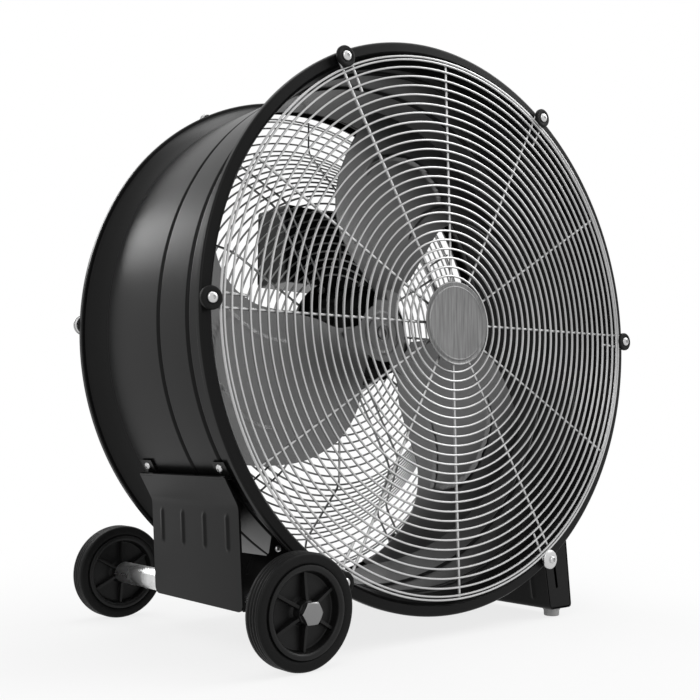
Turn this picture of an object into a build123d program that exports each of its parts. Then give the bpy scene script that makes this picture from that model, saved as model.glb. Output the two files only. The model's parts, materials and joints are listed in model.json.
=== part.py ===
from build123d import *
import os
from math import cos, hypot, radians, sin, sqrt

# Drum fan on two wheels and a foot bracket. Millimetres, +Z up, front of the fan towards -Y.
# The origin is on the floor, in the middle of the overall length. The drum's axis runs along Y.

# ---- drum -------------------------------------------------------------------------------
DRUM_R = 330.0  # outside radius of the cylindrical part
DRUM_LENGTH = 295.2  # over both rims
DRUM_Y = -25.6  # middle of the drum, which stands forward of the axle's middle
RIM_R = DRUM_R + 20.0  # outside radius of the rolled rims
RIM_SKIRT = 9.0  # how far the rim's skirt reaches back
RIM_BACK_R = RIM_R - 6.0  # where the flare meets the skirt
RIM_FACE_INNER_R = DRUM_R + 5.0  # inner edge of the rim's flat face
FLARE_START = 39.0  # from the rim's face to where the drum starts to flare
FLOOR_ROOM = 24.0  # from the floor to the rims
AXIS_Z = RIM_R + FLOOR_ROOM  # height of the drum's axis above the floor
SHEET = 1.5  # thickness of the drum's sheet
GROOVE_FROM_FRONT = (61.5, 126.5)  # the two rolled grooves, from the front rim's face
GROOVE_WIDTH = 9.0
GROOVE_DEPTH = 3.0

# ---- screws and washers -----------------------------------------------------------------
CLIP_R = RIM_R - 8.0  # radius of the circle of clip screws
WASHER_R = 12.5
WASHER_THICK = 5.3
SEAT_THICK = 2.7  # thin sleeve between the rim and the wire
REAR_WASHER_THICK = 1.5
SCREW_R = 2.9
SCREW_HEAD_R = 6.0
SCREW_HEAD = 3.4
SCREW_FIT = 0.1
SLEEVE_FIT = 0.3  # between a sleeve and the wire's turn round it
MOUNT_SCREW_HEAD_R = 5.0
CUT_MARGIN = 1.0  # how far a cutting shape runs past what it cuts
SMALL_SIDES = 8  # small round things that repeat are drawn with few sides
WASHER_SIDES = 16
STEEL_WASHER = 5  # the clip, counted from +X, that has a steel washer
STEEL_WASHER_DOME = 2.4  # height of its domed face
DOME_SLOPE = 60.0  # degrees by which the dome leans inwards

# ---- wire guards ------------------------------------------------------------------------
RING_WIRE = 2.8
SPOKE_WIRE = 3.4
RING_SIDES = 24
RING_COUNT = 24
RING_FIRST_R = 59.2
OUTER_RING_R = CLIP_R - 14.0
OUTER_RING_GAP = 4.0  # between the two wires of the double outer ring
RING_PITCH = (OUTER_RING_R - RING_FIRST_R) / RING_COUNT
SPOKES = 6  # at the clips, and as many free ones between them
SPOKE_TURN = 1.4  # degrees by which the spokes stand beside the clips' radii
RETURN_LEG = 44.0  # length of a clip spoke's returning leg
FREE_SPOKE_R = OUTER_RING_R + RING_WIRE
SPOKE_INNER_R = 30.0
HUB_RING = 3.0  # width of the ring that closes the front guard's spokes in the middle
REAR_HUB_RING = 9.0  # width of the wider one in the rear guard
BADGE_R = 51.5
BADGE_FACE_R = 47.5
BADGE_THICK = 6.0
BADGE_FLANGE = 2.4
BADGE_EDGE = 3.0  # width of the raised edge round the badge's face
BADGE_SINK = 1.0  # how deep the face lies behind that edge

# ---- recessed rear guard ----------------------------------------------------------------
DISH_OUTER_R = OUTER_RING_R - 44.0  # where the guard turns inwards
DISH_INNER_R = DISH_OUTER_R - 81.0  # where it is flat again
DISH_DEPTH = 78.0
REAR_GUARD_GAP = 3.0  # from the rear rim's face to the outer spokes' middle
TWIN_SPACING = 20.0  # between the two wires of a paired spoke

# ---- motor and rotor --------------------------------------------------------------------
MOTOR_R = 64.0
MOTOR_FIN = 4.0
MOTOR_FINS = 24
MOTOR_LENGTH = 42.0
BELL_LENGTH = 14.0
BELL_R = MOTOR_R - 3.0
BELL_CHAMFER = 6.0
MOUNT_PLATE_EDGE = 8.0  # from the screws' circle to the plate's edge
MOUNT_PLATE = 3.0
BEARING_SEAT = 3.0  # how deep the shaft runs into the motor's rear bell
SHAFT_R = 6.35
SHAFT_FIT = 0.05
BOSS_R = 15.0
BOSS_LENGTH = 14.0
SHAFT_RECESS = 5.0  # how far the shaft's end stays behind the boss's face
ROTOR_FROM_FRONT = 127.6  # from the front rim's face to the hub plate's face
BLADES = 3
BLADE_CLOCK = 10.0  # degrees by which the first blade stands to the right of straight up
BLADE_SHEET = 1.6
BLADE_TIP_R = DRUM_R - 28.0
BLADE_WIDE = (-135.0, 60.0, 260.0)  # where a blade's sections are bent, from trailing to leading side
BLADE_SECTIONS = (  # share of the tip's radius, and how far back the sheet lies at those places
    (0.15, -41, 18.5, 77.5),
    (0.36, -15.4, 13.1, 24),
    (0.66, -9.5, 14, 13.5),
    (1.02, -7.5, 14, 12),
)
TRAILING_EDGE = (  # share of the tip's radius, and degrees from the blade's own axis
    (0.15, 28), (0.2, 33), (0.33, 42), (0.5, 42), (0.66, 34.5), (0.83, 23.5), (1, 13),
)
LEADING_EDGE = (
    (1, -54.5), (0.82, -35.5), (0.66, -27.5), (0.5, -26.8), (0.33, -26.6), (0.2, -23), (0.15, -28),
)
HUB_PLATE_R = 38.0
HUB_RIDGE_R = 26.5  # middle of the pressed ridge round the hub
HUB_RIDGE = 1.2
HUB_PLATE = 2.6
HUB_ARM_END_R = 58.0
HUB_ARM_WIDTH = 41.0
SHAFT_COLLAR = 2.0  # wall of the boss's nose in the hub plate

# ---- control box in the rear recess -----------------------------------------------------
BOX_WIDTH = 182.0
BOX_HEIGHT = 108.0
BOX_DEPTH = 66.0
BOX_MIDDLE_Z = 126.0  # above the drum's axis
BOX_WALL = 2.0
BOX_CORNER = 5.0
BOX_SCREW_INSET = 8.0
BOX_SCREW_R = 3.6
BOX_SCREW_HEAD = 2.2
KNOB_R = 17.0
KNOB_DEPTH = 15.0
KNOB_TAPER = 4.0
KNOB_GRIP = (8.0, 4.0)  # width and height of the bar across the knob
KNOB_STEM_R = 5.0
KNOB_GAP = 0.5
SWITCH_SIZE = 34.0
SWITCH_DEPTH = 24.0
GLAND_R = 9.0
GLAND_NUT_R = GLAND_R + 2.25  # over the nut's corners
GLAND_TAPER = 12.0
GLAND_X = 60.7  # to the right of the box's middle
GLAND_NUT = 7.0
GLAND_CAP = 11.0
GLAND_BORE_R = 4.0

# ---- wheels and axle --------------------------------------------------------------------
WHEEL_R = 59.4
TREAD_WIDTH = 25.4
WHEEL_X = -246.6
WHEEL_MID_Y = 206.5  # middle of a wheel, from the axle's middle
TYRE_INNER_R = 47.0
TYRE_SHOULDER = 3.0
TREAD_GROOVES = 3
TREAD_GROOVE = 2.4
HUB_WIDTH = 30.8
HUB_RIM_OUT = 1.0  # how far the hub's rim stands out of the tyre
HUB_LIP_R = TYRE_INNER_R - 4.0
WHEEL_BOSS_R = 12.5
WEB = 4.0
RIB = 3.6
RIB_INSET = 2.0
RIBS = 6
AXLE_R = 6.0
WHEEL_FIT = 0.05
TUBE_R = 13.2
TUBE_WALL = 2.0
PLUG = 10.0
BOLT_ACROSS_FLATS = 22.0
BOLT_HEAD = 7.2
BOLT_CHAMFER = 0.8
SIDE_GAP = 0.6

# ---- brackets ---------------------------------------------------------------------------
BRACKET_SHEET = 2.5
BRACKET_HALF = 98.0  # half the wheel bracket's width along Y
FLANGE_TOP = (-288.0, -182.0)  # the bracket's section, from the drum's axis
BEND = (-270.0, -214.0)
PLATE_FOOT = (-262.5, -326.0)
WALL_TOP = (-229.0, -268.0)  # low point of an end wall's upper edge
BRACKET_INNER_X = -196.0
BRACKET_CORNER = 9.0
PLATE_LEAN = 10.0  # degrees, more than the hanging side leans
TAB_WIDTH = 26.0
TAB_FROM_END = 15.0  # from the bracket's end to a tab's screw
FOOT_HALF = 145.0
FOOT_PAD_HEIGHT = 11.0
FOOT_TOP = (156.0, 210.0)  # the foot's two sides where they meet the drum
FOOT_BOTTOM = (181.0, 225.0)
FOOT_TOP_Z = -200.0
FOOT_PAD_R = 11.5
FOOT_PAD_TAPER = 5.0
FOOT_PAD_FROM_END = 16.0
PRESSED_RIBS = 4
RIB_PITCH = 49.0
RIB_LENGTH = 38.0
RIB_TOP_Z = -224.0
PRESSED_RIB = 6.0  # width of the ribs pressed into the brackets
PRESSED_RIB_HEIGHT = 1.2
DRUM_GAP = 0.3

FRONT_Y = DRUM_Y - DRUM_LENGTH / 2
REAR_Y = DRUM_Y + DRUM_LENGTH / 2
DRUM_AXIS = Axis((0, 0, AXIS_Z), (0, 1, 0))
PROFILE = Plane(origin=(0, 0, AXIS_Z), x_dir=(0, 1, 0), z_dir=(1, 0, 0))
CLIP_ANGLES = [360 / SPOKES * i for i in range(SPOKES)]
FREE_ANGLES = [360 / SPOKES * (i + 0.5) for i in range(SPOKES)]
SPOKE_BACK = FRONT_Y - SEAT_THICK
SPOKE_FRONT = SPOKE_BACK - SPOKE_WIRE
RING_FRONT = SPOKE_FRONT - RING_WIRE
REAR_WIRE_BACK = REAR_Y + REAR_GUARD_GAP + SPOKE_WIRE / 2
DISH_BACK = REAR_WIRE_BACK - DISH_DEPTH
DISH_FRONT = DISH_BACK - SPOKE_WIRE
LOOP_R = CLIP_R * sin(radians(SPOKE_TURN))  # of a front spoke's turn round its screw


def facing(y):
    """Plane across the drum at depth y, seen from the front: its x is X and its y is Z."""
    return Plane(origin=(0, y, AXIS_Z), x_dir=(1, 0, 0), z_dir=(0, -1, 0))


def turned(angle):
    """Plane through the drum's axis: its x is Y and its y points outwards at this angle."""
    a = radians(angle)
    return Plane(origin=(0, 0, AXIS_Z), x_dir=(0, 1, 0), z_dir=(sin(a), 0, -cos(a)))


def polar(radius, angle):
    return (radius * cos(radians(angle)), radius * sin(radians(angle)))


def clip_places(chosen):
    """Where the chosen clips' screws stand on their circle."""
    return Locations(*[polar(CLIP_R, CLIP_ANGLES[i]) for i in chosen])


def finish(piece, label):
    piece.part.label = label
    export_step(piece.part, f"parts/{label}.step")


# ---- drum -------------------------------------------------------------------------------
def drum_outline():
    """Outside line of the drum from the front rim to the rear one, as (y, radius) points."""
    line = [(FRONT_Y, RIM_FACE_INNER_R), (FRONT_Y, RIM_R), (FRONT_Y + RIM_SKIRT, RIM_R)]
    line += [(FRONT_Y + RIM_SKIRT, RIM_BACK_R), (FRONT_Y + FLARE_START, DRUM_R)]
    for groove in GROOVE_FROM_FRONT:
        middle = FRONT_Y + groove
        line += [(middle - GROOVE_WIDTH / 2, DRUM_R), (middle, DRUM_R - GROOVE_DEPTH)]
        line += [(middle + GROOVE_WIDTH / 2, DRUM_R)]
    line += [(REAR_Y - FLARE_START, DRUM_R), (REAR_Y - RIM_SKIRT, RIM_BACK_R)]
    line += [(REAR_Y - RIM_SKIRT, RIM_R), (REAR_Y, RIM_R), (REAR_Y, RIM_FACE_INNER_R)]
    return line


def screw_hole():
    RegularPolygon(SCREW_R + SCREW_FIT, SMALL_SIDES, mode=Mode.SUBTRACT)


def make_drum_shell():
    with BuildPart() as drum_shell:
        with BuildSketch(PROFILE):
            with BuildLine():
                Polyline(*drum_outline())
                offset(amount=SHEET, side=Side.RIGHT, kind=Kind.INTERSECTION)
            make_face()
        revolve(axis=DRUM_AXIS)
        for y, way in ((FRONT_Y, 1), (REAR_Y, -1)):
            with BuildSketch(facing(y + way * RIM_SKIRT)):
                with clip_places(range(SPOKES)):
                    RegularPolygon(SCREW_R + SCREW_FIT, SMALL_SIDES)
            extrude(amount=2 * RIM_SKIRT * way, mode=Mode.SUBTRACT)
    finish(drum_shell, "drum_shell")


# ---- wire guards ------------------------------------------------------------------------
def ring_sketch(radii):
    """Flat rings of wire, drawn with straight sides whose middles lie on these radii."""
    for radius in sorted(radii, reverse=True):
        RegularPolygon(radius + RING_WIRE / 2, RING_SIDES, major_radius=False)
        RegularPolygon(radius - RING_WIRE / 2, RING_SIDES, major_radius=False, mode=Mode.SUBTRACT)


def outer_pair():
    return [OUTER_RING_R - OUTER_RING_GAP / 2, OUTER_RING_R + OUTER_RING_GAP / 2]


def front_clip_spoke(angle):
    """Hairpin wire in the plane of the spokes: out beside the screw, round it and a short way back."""
    length = CLIP_R * cos(radians(SPOKE_TURN))
    with BuildSketch(mode=Mode.PRIVATE) as hairpin:
        with Locations(((SPOKE_INNER_R + length) / 2, LOOP_R)):
            Rectangle(length - SPOKE_INNER_R, SPOKE_WIRE)
        with Locations((length - RETURN_LEG / 2, -LOOP_R)):
            Rectangle(RETURN_LEG, SPOKE_WIRE)
        with Locations((length, 0)):
            RegularPolygon(LOOP_R + SPOKE_WIRE / 2, WASHER_SIDES, major_radius=False)
            RegularPolygon(LOOP_R - SPOKE_WIRE / 2, WASHER_SIDES, major_radius=False, mode=Mode.SUBTRACT)
        with Locations((length - LOOP_R, 0)):
            Rectangle(2 * LOOP_R, 2 * LOOP_R - SPOKE_WIRE, mode=Mode.SUBTRACT)
    return hairpin.sketch.rotate(Axis.Z, angle)


def make_front_grille():
    with BuildPart() as front_grille:
        with BuildSketch(facing(SPOKE_BACK)):
            for angle in CLIP_ANGLES:
                add(front_clip_spoke(angle))
            for angle in FREE_ANGLES:
                with Locations(polar((SPOKE_INNER_R + FREE_SPOKE_R) / 2, angle + SPOKE_TURN)):
                    Rectangle(FREE_SPOKE_R - SPOKE_INNER_R, SPOKE_WIRE, rotation=angle + SPOKE_TURN)
            RegularPolygon(SPOKE_INNER_R + HUB_RING, RING_SIDES)
        extrude(amount=SPOKE_WIRE)
        with BuildSketch(facing(SPOKE_FRONT)):
            ring_sketch([RING_FIRST_R + RING_PITCH * i for i in range(RING_COUNT)] + outer_pair())
            RegularPolygon(SPOKE_INNER_R, RING_SIDES)
        extrude(amount=RING_WIRE)
    finish(front_grille, "front_grille")


def rear_wire_line(outer_r):
    """Rear side of a rear spoke from its outer end to the centre, as (y, radius) points."""
    line = [(REAR_WIRE_BACK, outer_r), (REAR_WIRE_BACK, DISH_OUTER_R)]
    return line + [(DISH_BACK, DISH_INNER_R), (DISH_BACK, SPOKE_INNER_R)]


def rear_ring_places():
    """Ring places (y, radius) at one pitch along the spokes' rear side, which carries them."""
    line = rear_wire_line(OUTER_RING_R - RING_PITCH)
    places = []
    left = 0.0
    for (y0, r0), (y1, r1) in zip(line, line[1:]):
        length = hypot(y1 - y0, r1 - r0)
        along = ((y1 - y0) / length, (r1 - r0) / length)
        step = left
        while step < length:
            y = y0 + along[0] * step - along[1] * RING_WIRE / 2
            radius = r0 + along[1] * step + along[0] * RING_WIRE / 2
            if radius > RING_FIRST_R:
                places.append((y, radius, y1 != y0))
            step += RING_PITCH
        left = step - length
    return places


def rear_spoke_face(angle, shift, outer_r):
    """Side view of one bent spoke, on a plane shifted sideways by shift from its radius."""
    with BuildSketch(turned(angle).offset(shift - SPOKE_WIRE / 2)) as spoke:
        with BuildLine():
            Polyline(*rear_wire_line(outer_r))
            offset(amount=SPOKE_WIRE, side=Side.RIGHT, kind=Kind.INTERSECTION)
        make_face()
    return spoke.sketch


def make_rear_grille():
    """Recessed guard: bent spokes, the paired ones joined by a loop round their clip screw, and rings."""
    with BuildPart() as rear_grille:
        spokes = [(angle, 0, FREE_SPOKE_R) for angle in FREE_ANGLES]
        spokes += [(angle, side * TWIN_SPACING / 2, CLIP_R) for angle in CLIP_ANGLES for side in (-1, 1)]
        for angle, shift, outer_r in spokes:
            extrude(rear_spoke_face(angle, shift, outer_r), amount=SPOKE_WIRE)
        with BuildSketch(facing(REAR_WIRE_BACK)):
            with PolarLocations(CLIP_R, SPOKES):
                RegularPolygon((TWIN_SPACING + SPOKE_WIRE) / 2, WASHER_SIDES, major_radius=False)
                RegularPolygon(
                    (TWIN_SPACING - SPOKE_WIRE) / 2, WASHER_SIDES, major_radius=False, mode=Mode.SUBTRACT
                )
            with PolarLocations(CLIP_R - TWIN_SPACING, SPOKES):
                Rectangle(2 * TWIN_SPACING, 2 * TWIN_SPACING, mode=Mode.SUBTRACT)
        extrude(amount=SPOKE_WIRE)
        with BuildSketch(facing(DISH_FRONT + SPOKE_WIRE)):
            RegularPolygon(SPOKE_INNER_R + REAR_HUB_RING, RING_SIDES)
            RegularPolygon(SPOKE_INNER_R, RING_SIDES, mode=Mode.SUBTRACT)
        extrude(amount=SPOKE_WIRE)
        for y, radius, sloping in rear_ring_places():
            sunk = RING_WIRE / 4 if sloping else 0
            with BuildSketch(facing(y + RING_WIRE / 2 - sunk)):
                ring_sketch([radius])
            extrude(amount=RING_WIRE)
        with BuildSketch(facing(REAR_WIRE_BACK + RING_WIRE)):
            ring_sketch(outer_pair())
        extrude(amount=RING_WIRE)
    finish(rear_grille, "rear_grille")


def make_hub_badge():
    """Round plate over the middle of the front guard, with a raised edge round its face."""
    face_y = RING_FRONT - BADGE_THICK
    with BuildPart() as hub_badge:
        with BuildSketch(facing(RING_FRONT)):
            Circle(BADGE_R)
        extrude(amount=BADGE_FLANGE)
        with BuildSketch(facing(RING_FRONT - BADGE_FLANGE)):
            Circle(BADGE_FACE_R)
        extrude(amount=BADGE_THICK - BADGE_FLANGE)
        with BuildSketch(facing(face_y)):
            Circle(BADGE_FACE_R - BADGE_EDGE)
        extrude(amount=-BADGE_SINK, mode=Mode.SUBTRACT)
    finish(hub_badge, "hub_badge")


def outer_ring_room(y):
    """Disc over the double outer ring: what the washers beside it must leave free."""
    with BuildSketch(facing(y)) as room:
        outer_edge = OUTER_RING_R + (OUTER_RING_GAP + RING_WIRE) / 2
        RegularPolygon(outer_edge + SCREW_FIT, RING_SIDES, major_radius=False)
    return room.sketch


def make_front_clips():
    """Washers and pan-head screws that clamp the front guard to the rim, one washer being of steel."""
    with BuildPart() as front_seats:
        with BuildSketch(facing(FRONT_Y)):
            with clip_places(range(SPOKES)):
                RegularPolygon(LOOP_R - SPOKE_WIRE / 2 - SLEEVE_FIT, WASHER_SIDES)
                screw_hole()
        extrude(amount=SEAT_THICK + SPOKE_WIRE)
    finish(front_seats, "front_clip_sleeves")
    with BuildPart() as front_washers:
        with BuildSketch(facing(SPOKE_FRONT)):
            with clip_places([i for i in range(SPOKES) if i != STEEL_WASHER]):
                RegularPolygon(WASHER_R, WASHER_SIDES)
                screw_hole()
        extrude(amount=WASHER_THICK)
        extrude(outer_ring_room(SPOKE_FRONT), amount=RING_WIRE + SCREW_FIT, mode=Mode.SUBTRACT)
    finish(front_washers, "front_clip_washers")
    with BuildPart() as steel_washer:
        with BuildSketch(facing(SPOKE_FRONT)):
            with clip_places([STEEL_WASHER]):
                Circle(WASHER_R)
        extrude(amount=WASHER_THICK - STEEL_WASHER_DOME)
        with BuildSketch(facing(SPOKE_FRONT - WASHER_THICK + STEEL_WASHER_DOME)):
            with clip_places([STEEL_WASHER]):
                Circle(WASHER_R)
        extrude(amount=STEEL_WASHER_DOME, taper=DOME_SLOPE)
        with BuildSketch(facing(SPOKE_FRONT)):
            with clip_places([STEEL_WASHER]):
                RegularPolygon(SCREW_R + SCREW_FIT, SMALL_SIDES)
        extrude(amount=WASHER_THICK, mode=Mode.SUBTRACT)
        extrude(outer_ring_room(SPOKE_FRONT), amount=RING_WIRE + SCREW_FIT, mode=Mode.SUBTRACT)
    finish(steel_washer, "steel_clip_washer")
    with BuildPart() as front_screws:
        with BuildSketch(facing(SPOKE_FRONT - WASHER_THICK)):
            with clip_places(range(SPOKES)):
                RegularPolygon(SCREW_HEAD_R, WASHER_SIDES)
        extrude(amount=SCREW_HEAD)
        with BuildSketch(facing(SPOKE_FRONT - WASHER_THICK)):
            with clip_places(range(SPOKES)):
                RegularPolygon(SCREW_R, SMALL_SIDES)
        extrude(amount=-(SEAT_THICK + SPOKE_WIRE + WASHER_THICK + 2 * SHEET))
    finish(front_screws, "front_clip_screws")


def make_rear_clips():
    """Washers over each pair of rear spokes and the screws through them into the rim."""
    with BuildPart() as rear_washers:
        with BuildSketch(facing(REAR_WIRE_BACK)):
            with clip_places(range(SPOKES)):
                RegularPolygon(WASHER_R, WASHER_SIDES)
                screw_hole()
        extrude(amount=-REAR_WASHER_THICK)
        extrude(outer_ring_room(REAR_WIRE_BACK + RING_WIRE), amount=2 * RING_WIRE, mode=Mode.SUBTRACT)
    finish(rear_washers, "rear_clip_washers")
    head_y = REAR_WIRE_BACK + REAR_WASHER_THICK
    with BuildPart() as rear_screws:
        with BuildSketch(facing(head_y)):
            with clip_places(range(SPOKES)):
                RegularPolygon(SCREW_HEAD_R, WASHER_SIDES)
        extrude(amount=-SCREW_HEAD)
        with BuildSketch(facing(head_y)):
            with clip_places(range(SPOKES)):
                RegularPolygon(SCREW_R, SMALL_SIDES)
        extrude(amount=head_y - REAR_Y + 2 * SHEET)
    finish(rear_screws, "rear_clip_screws")


# ---- motor and rotor --------------------------------------------------------------------
PLATE_FRONT = DISH_FRONT - MOUNT_PLATE
REAR_BELL_FRONT = PLATE_FRONT - BELL_LENGTH
MOTOR_FRONT = REAR_BELL_FRONT - MOTOR_LENGTH
MOUNT_SCREW_CIRCLE = sum(place[1] for place in rear_ring_places()[-2:]) / 2
ROTOR_Y = FRONT_Y + ROTOR_FROM_FRONT


def make_motor():
    with BuildPart() as motor_mount_plate:
        with BuildSketch(facing(DISH_FRONT)):
            Circle(MOUNT_SCREW_CIRCLE + MOUNT_PLATE_EDGE)
            with PolarLocations(MOUNT_SCREW_CIRCLE, SPOKES):
                screw_hole()
        extrude(amount=MOUNT_PLATE)
    finish(motor_mount_plate, "motor_mount_plate")
    with BuildPart() as motor_body:
        with BuildSketch(facing(REAR_BELL_FRONT)):
            Circle(MOTOR_R)
            with PolarLocations(MOTOR_R, MOTOR_FINS):
                Rectangle(2 * MOTOR_FIN, MOTOR_FIN / 2)
            Circle(SHAFT_R + SHAFT_FIT, mode=Mode.SUBTRACT)
        extrude(amount=MOTOR_LENGTH)
    finish(motor_body, "motor_body")
    with BuildPart() as motor_rear_bell:
        with BuildSketch(facing(PLATE_FRONT)):
            Circle(BELL_R)
        extrude(amount=BELL_LENGTH)
        with BuildSketch(facing(REAR_BELL_FRONT)):
            Circle(SHAFT_R + SHAFT_FIT)
        extrude(amount=-(BELL_LENGTH - BEARING_SEAT), mode=Mode.SUBTRACT)
    finish(motor_rear_bell, "motor_rear_bell")
    with BuildPart() as motor_front_bell:
        with BuildSketch(facing(MOTOR_FRONT)):
            Circle(BELL_R)
        extrude(amount=BELL_LENGTH)
        chamfer(motor_front_bell.faces().sort_by(Axis.Y)[0].edges(), length=BELL_CHAMFER)
        with BuildSketch(facing(MOTOR_FRONT)):
            Circle(SHAFT_R + SHAFT_FIT)
        extrude(amount=BELL_LENGTH, mode=Mode.SUBTRACT)
    finish(motor_front_bell, "motor_front_bell")


def make_mount_screws():
    """Screws that hold the mounting plate between the rear guard's two innermost rings."""
    with BuildPart() as mount_screws:
        with BuildSketch(facing(PLATE_FRONT)):
            with PolarLocations(MOUNT_SCREW_CIRCLE, SPOKES):
                RegularPolygon(MOUNT_SCREW_HEAD_R, WASHER_SIDES)
        extrude(amount=SCREW_HEAD)
        with BuildSketch(facing(PLATE_FRONT)):
            with PolarLocations(MOUNT_SCREW_CIRCLE, SPOKES):
                RegularPolygon(SCREW_R, SMALL_SIDES)
        extrude(amount=-(MOUNT_PLATE + SPOKE_WIRE + SHEET))
    finish(mount_screws, "motor_mount_screws")


def make_motor_shaft():
    back_y = PLATE_FRONT - BEARING_SEAT
    with BuildPart() as motor_shaft:
        with BuildSketch(facing(back_y)):
            Circle(SHAFT_R)
        extrude(amount=back_y - ROTOR_Y - SHAFT_RECESS)
    finish(motor_shaft, "motor_shaft")


def blade_section(share, *backs):
    """Thin bent strip across a blade that points straight up, at this share of the tip's radius."""
    places = [(x, ROTOR_Y + back) for x, back in zip(BLADE_WIDE, backs)]
    with BuildSketch(Plane.XY.offset(AXIS_Z + share * BLADE_TIP_R)) as section:
        with BuildLine():
            ThreePointArc(*places)
            offset(amount=BLADE_SHEET / 2, side=Side.BOTH, kind=Kind.INTERSECTION)
        make_face()
    return section.sketch


def blade_outline():
    """Outline of a blade that points straight up: both edges, the tip's arc and the root."""
    straight_up = 90
    trailing = [polar(share * BLADE_TIP_R, straight_up + lean) for share, lean in TRAILING_EDGE]
    leading = [polar(share * BLADE_TIP_R, straight_up + lean) for share, lean in LEADING_EDGE]
    middle = (TRAILING_EDGE[-1][1] + LEADING_EDGE[0][1]) / 2
    with BuildSketch(facing(ROTOR_Y + DRUM_LENGTH / 2)) as outline:
        with BuildLine():
            Spline(*trailing)
            ThreePointArc(trailing[-1], polar(BLADE_TIP_R, straight_up + middle), leading[0])
            Spline(*leading)
            Line(leading[-1], trailing[0])
        make_face()
    return outline.sketch


def make_fan_rotor():
    """Pressed hub plate with three arms, and three swept blades of bent sheet."""
    with BuildPart(mode=Mode.PRIVATE) as blade:
        loft([blade_section(*section) for section in BLADE_SECTIONS])
        extrude(blade_outline(), amount=DRUM_LENGTH, mode=Mode.INTERSECT)
    with BuildPart() as fan_rotor:
        with BuildSketch(facing(ROTOR_Y + HUB_PLATE)):
            Circle(HUB_PLATE_R)
            with PolarLocations(0, BLADES, start_angle=90 - BLADE_CLOCK):
                with Locations((HUB_ARM_END_R / 2, 0)):
                    Rectangle(HUB_ARM_END_R, HUB_ARM_WIDTH)
        extrude(amount=HUB_PLATE)
        for i in range(BLADES):
            add(blade.part.rotate(DRUM_AXIS, BLADE_CLOCK + 360 / BLADES * i))
        with BuildSketch(facing(ROTOR_Y)):
            Circle(HUB_RIDGE_R + HUB_RIDGE)
            Circle(HUB_RIDGE_R - HUB_RIDGE, mode=Mode.SUBTRACT)
        extrude(amount=HUB_RIDGE)
        with BuildSketch(facing(ROTOR_Y - DRUM_LENGTH / 2)):
            Circle(SHAFT_R + SHAFT_COLLAR)
        extrude(amount=-DRUM_LENGTH, mode=Mode.SUBTRACT)
    finish(fan_rotor, "fan_rotor")


def make_rotor_boss():
    """Boss behind the hub plate, with a nose through the plate's hole."""
    seat_y = ROTOR_Y + HUB_PLATE
    with BuildPart() as rotor_boss:
        with BuildSketch(facing(seat_y)):
            Circle(BOSS_R)
        extrude(amount=-(BOSS_LENGTH - HUB_PLATE))
        with BuildSketch(facing(seat_y)):
            Circle(SHAFT_R + SHAFT_COLLAR - SCREW_FIT)
        extrude(amount=HUB_PLATE + HUB_RIDGE)
        with BuildSketch(facing(seat_y + BOSS_LENGTH)):
            Circle(SHAFT_R)
        extrude(amount=2 * BOSS_LENGTH, mode=Mode.SUBTRACT)
    finish(rotor_boss, "rotor_boss")


# ---- control box ------------------------------------------------------------------------
BOX_FRONT = DISH_BACK + RING_WIRE
BOX_BACK = BOX_FRONT + BOX_DEPTH
BOX_OUTSIDE = BOX_BACK + BOX_WALL


def at_box_middle():
    return Locations((0, BOX_MIDDLE_Z))


def make_control_box():
    with BuildPart() as control_box:
        with BuildSketch(facing(BOX_BACK)):
            with at_box_middle():
                RectangleRounded(BOX_WIDTH, BOX_HEIGHT, BOX_CORNER)
        extrude(amount=BOX_DEPTH)
        offset(amount=-BOX_WALL, openings=control_box.faces().sort_by(Axis.Y)[-1])
    finish(control_box, "control_box")
    with BuildPart() as box_cover:
        with BuildSketch(facing(BOX_OUTSIDE)):
            with at_box_middle():
                RectangleRounded(BOX_WIDTH, BOX_HEIGHT, BOX_CORNER)
                Circle(KNOB_STEM_R + SHAFT_FIT, mode=Mode.SUBTRACT)
        extrude(amount=BOX_WALL)
    finish(box_cover, "box_cover")
    with BuildPart() as speed_switch:
        with BuildSketch(facing(BOX_BACK)):
            with at_box_middle():
                Rectangle(SWITCH_SIZE, SWITCH_SIZE)
        extrude(amount=SWITCH_DEPTH)
    finish(speed_switch, "speed_switch")
    with BuildPart() as box_screws:
        with BuildSketch(facing(BOX_OUTSIDE)):
            with at_box_middle():
                with GridLocations(BOX_WIDTH - 2 * BOX_SCREW_INSET, BOX_HEIGHT - 2 * BOX_SCREW_INSET, 2, 2):
                    RegularPolygon(BOX_SCREW_R, WASHER_SIDES)
        extrude(amount=-BOX_SCREW_HEAD)
    finish(box_screws, "box_screws")


def make_speed_knob():
    grip_width, grip_height = KNOB_GRIP
    top_y = BOX_OUTSIDE + KNOB_GAP + KNOB_DEPTH
    with BuildPart() as speed_knob:
        with BuildSketch(facing(top_y)):
            with at_box_middle():
                Circle(KNOB_R)
        extrude(amount=KNOB_DEPTH, taper=-KNOB_TAPER)
        with BuildSketch(facing(top_y)):
            with at_box_middle():
                Rectangle(grip_width, 2 * KNOB_R - grip_height)
        extrude(amount=-grip_height)
        with BuildSketch(facing(BOX_OUTSIDE + KNOB_GAP)):
            with at_box_middle():
                Circle(KNOB_STEM_R)
        extrude(amount=BOX_WALL + KNOB_GAP - DRUM_GAP)
    finish(speed_knob, "speed_knob")


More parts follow.
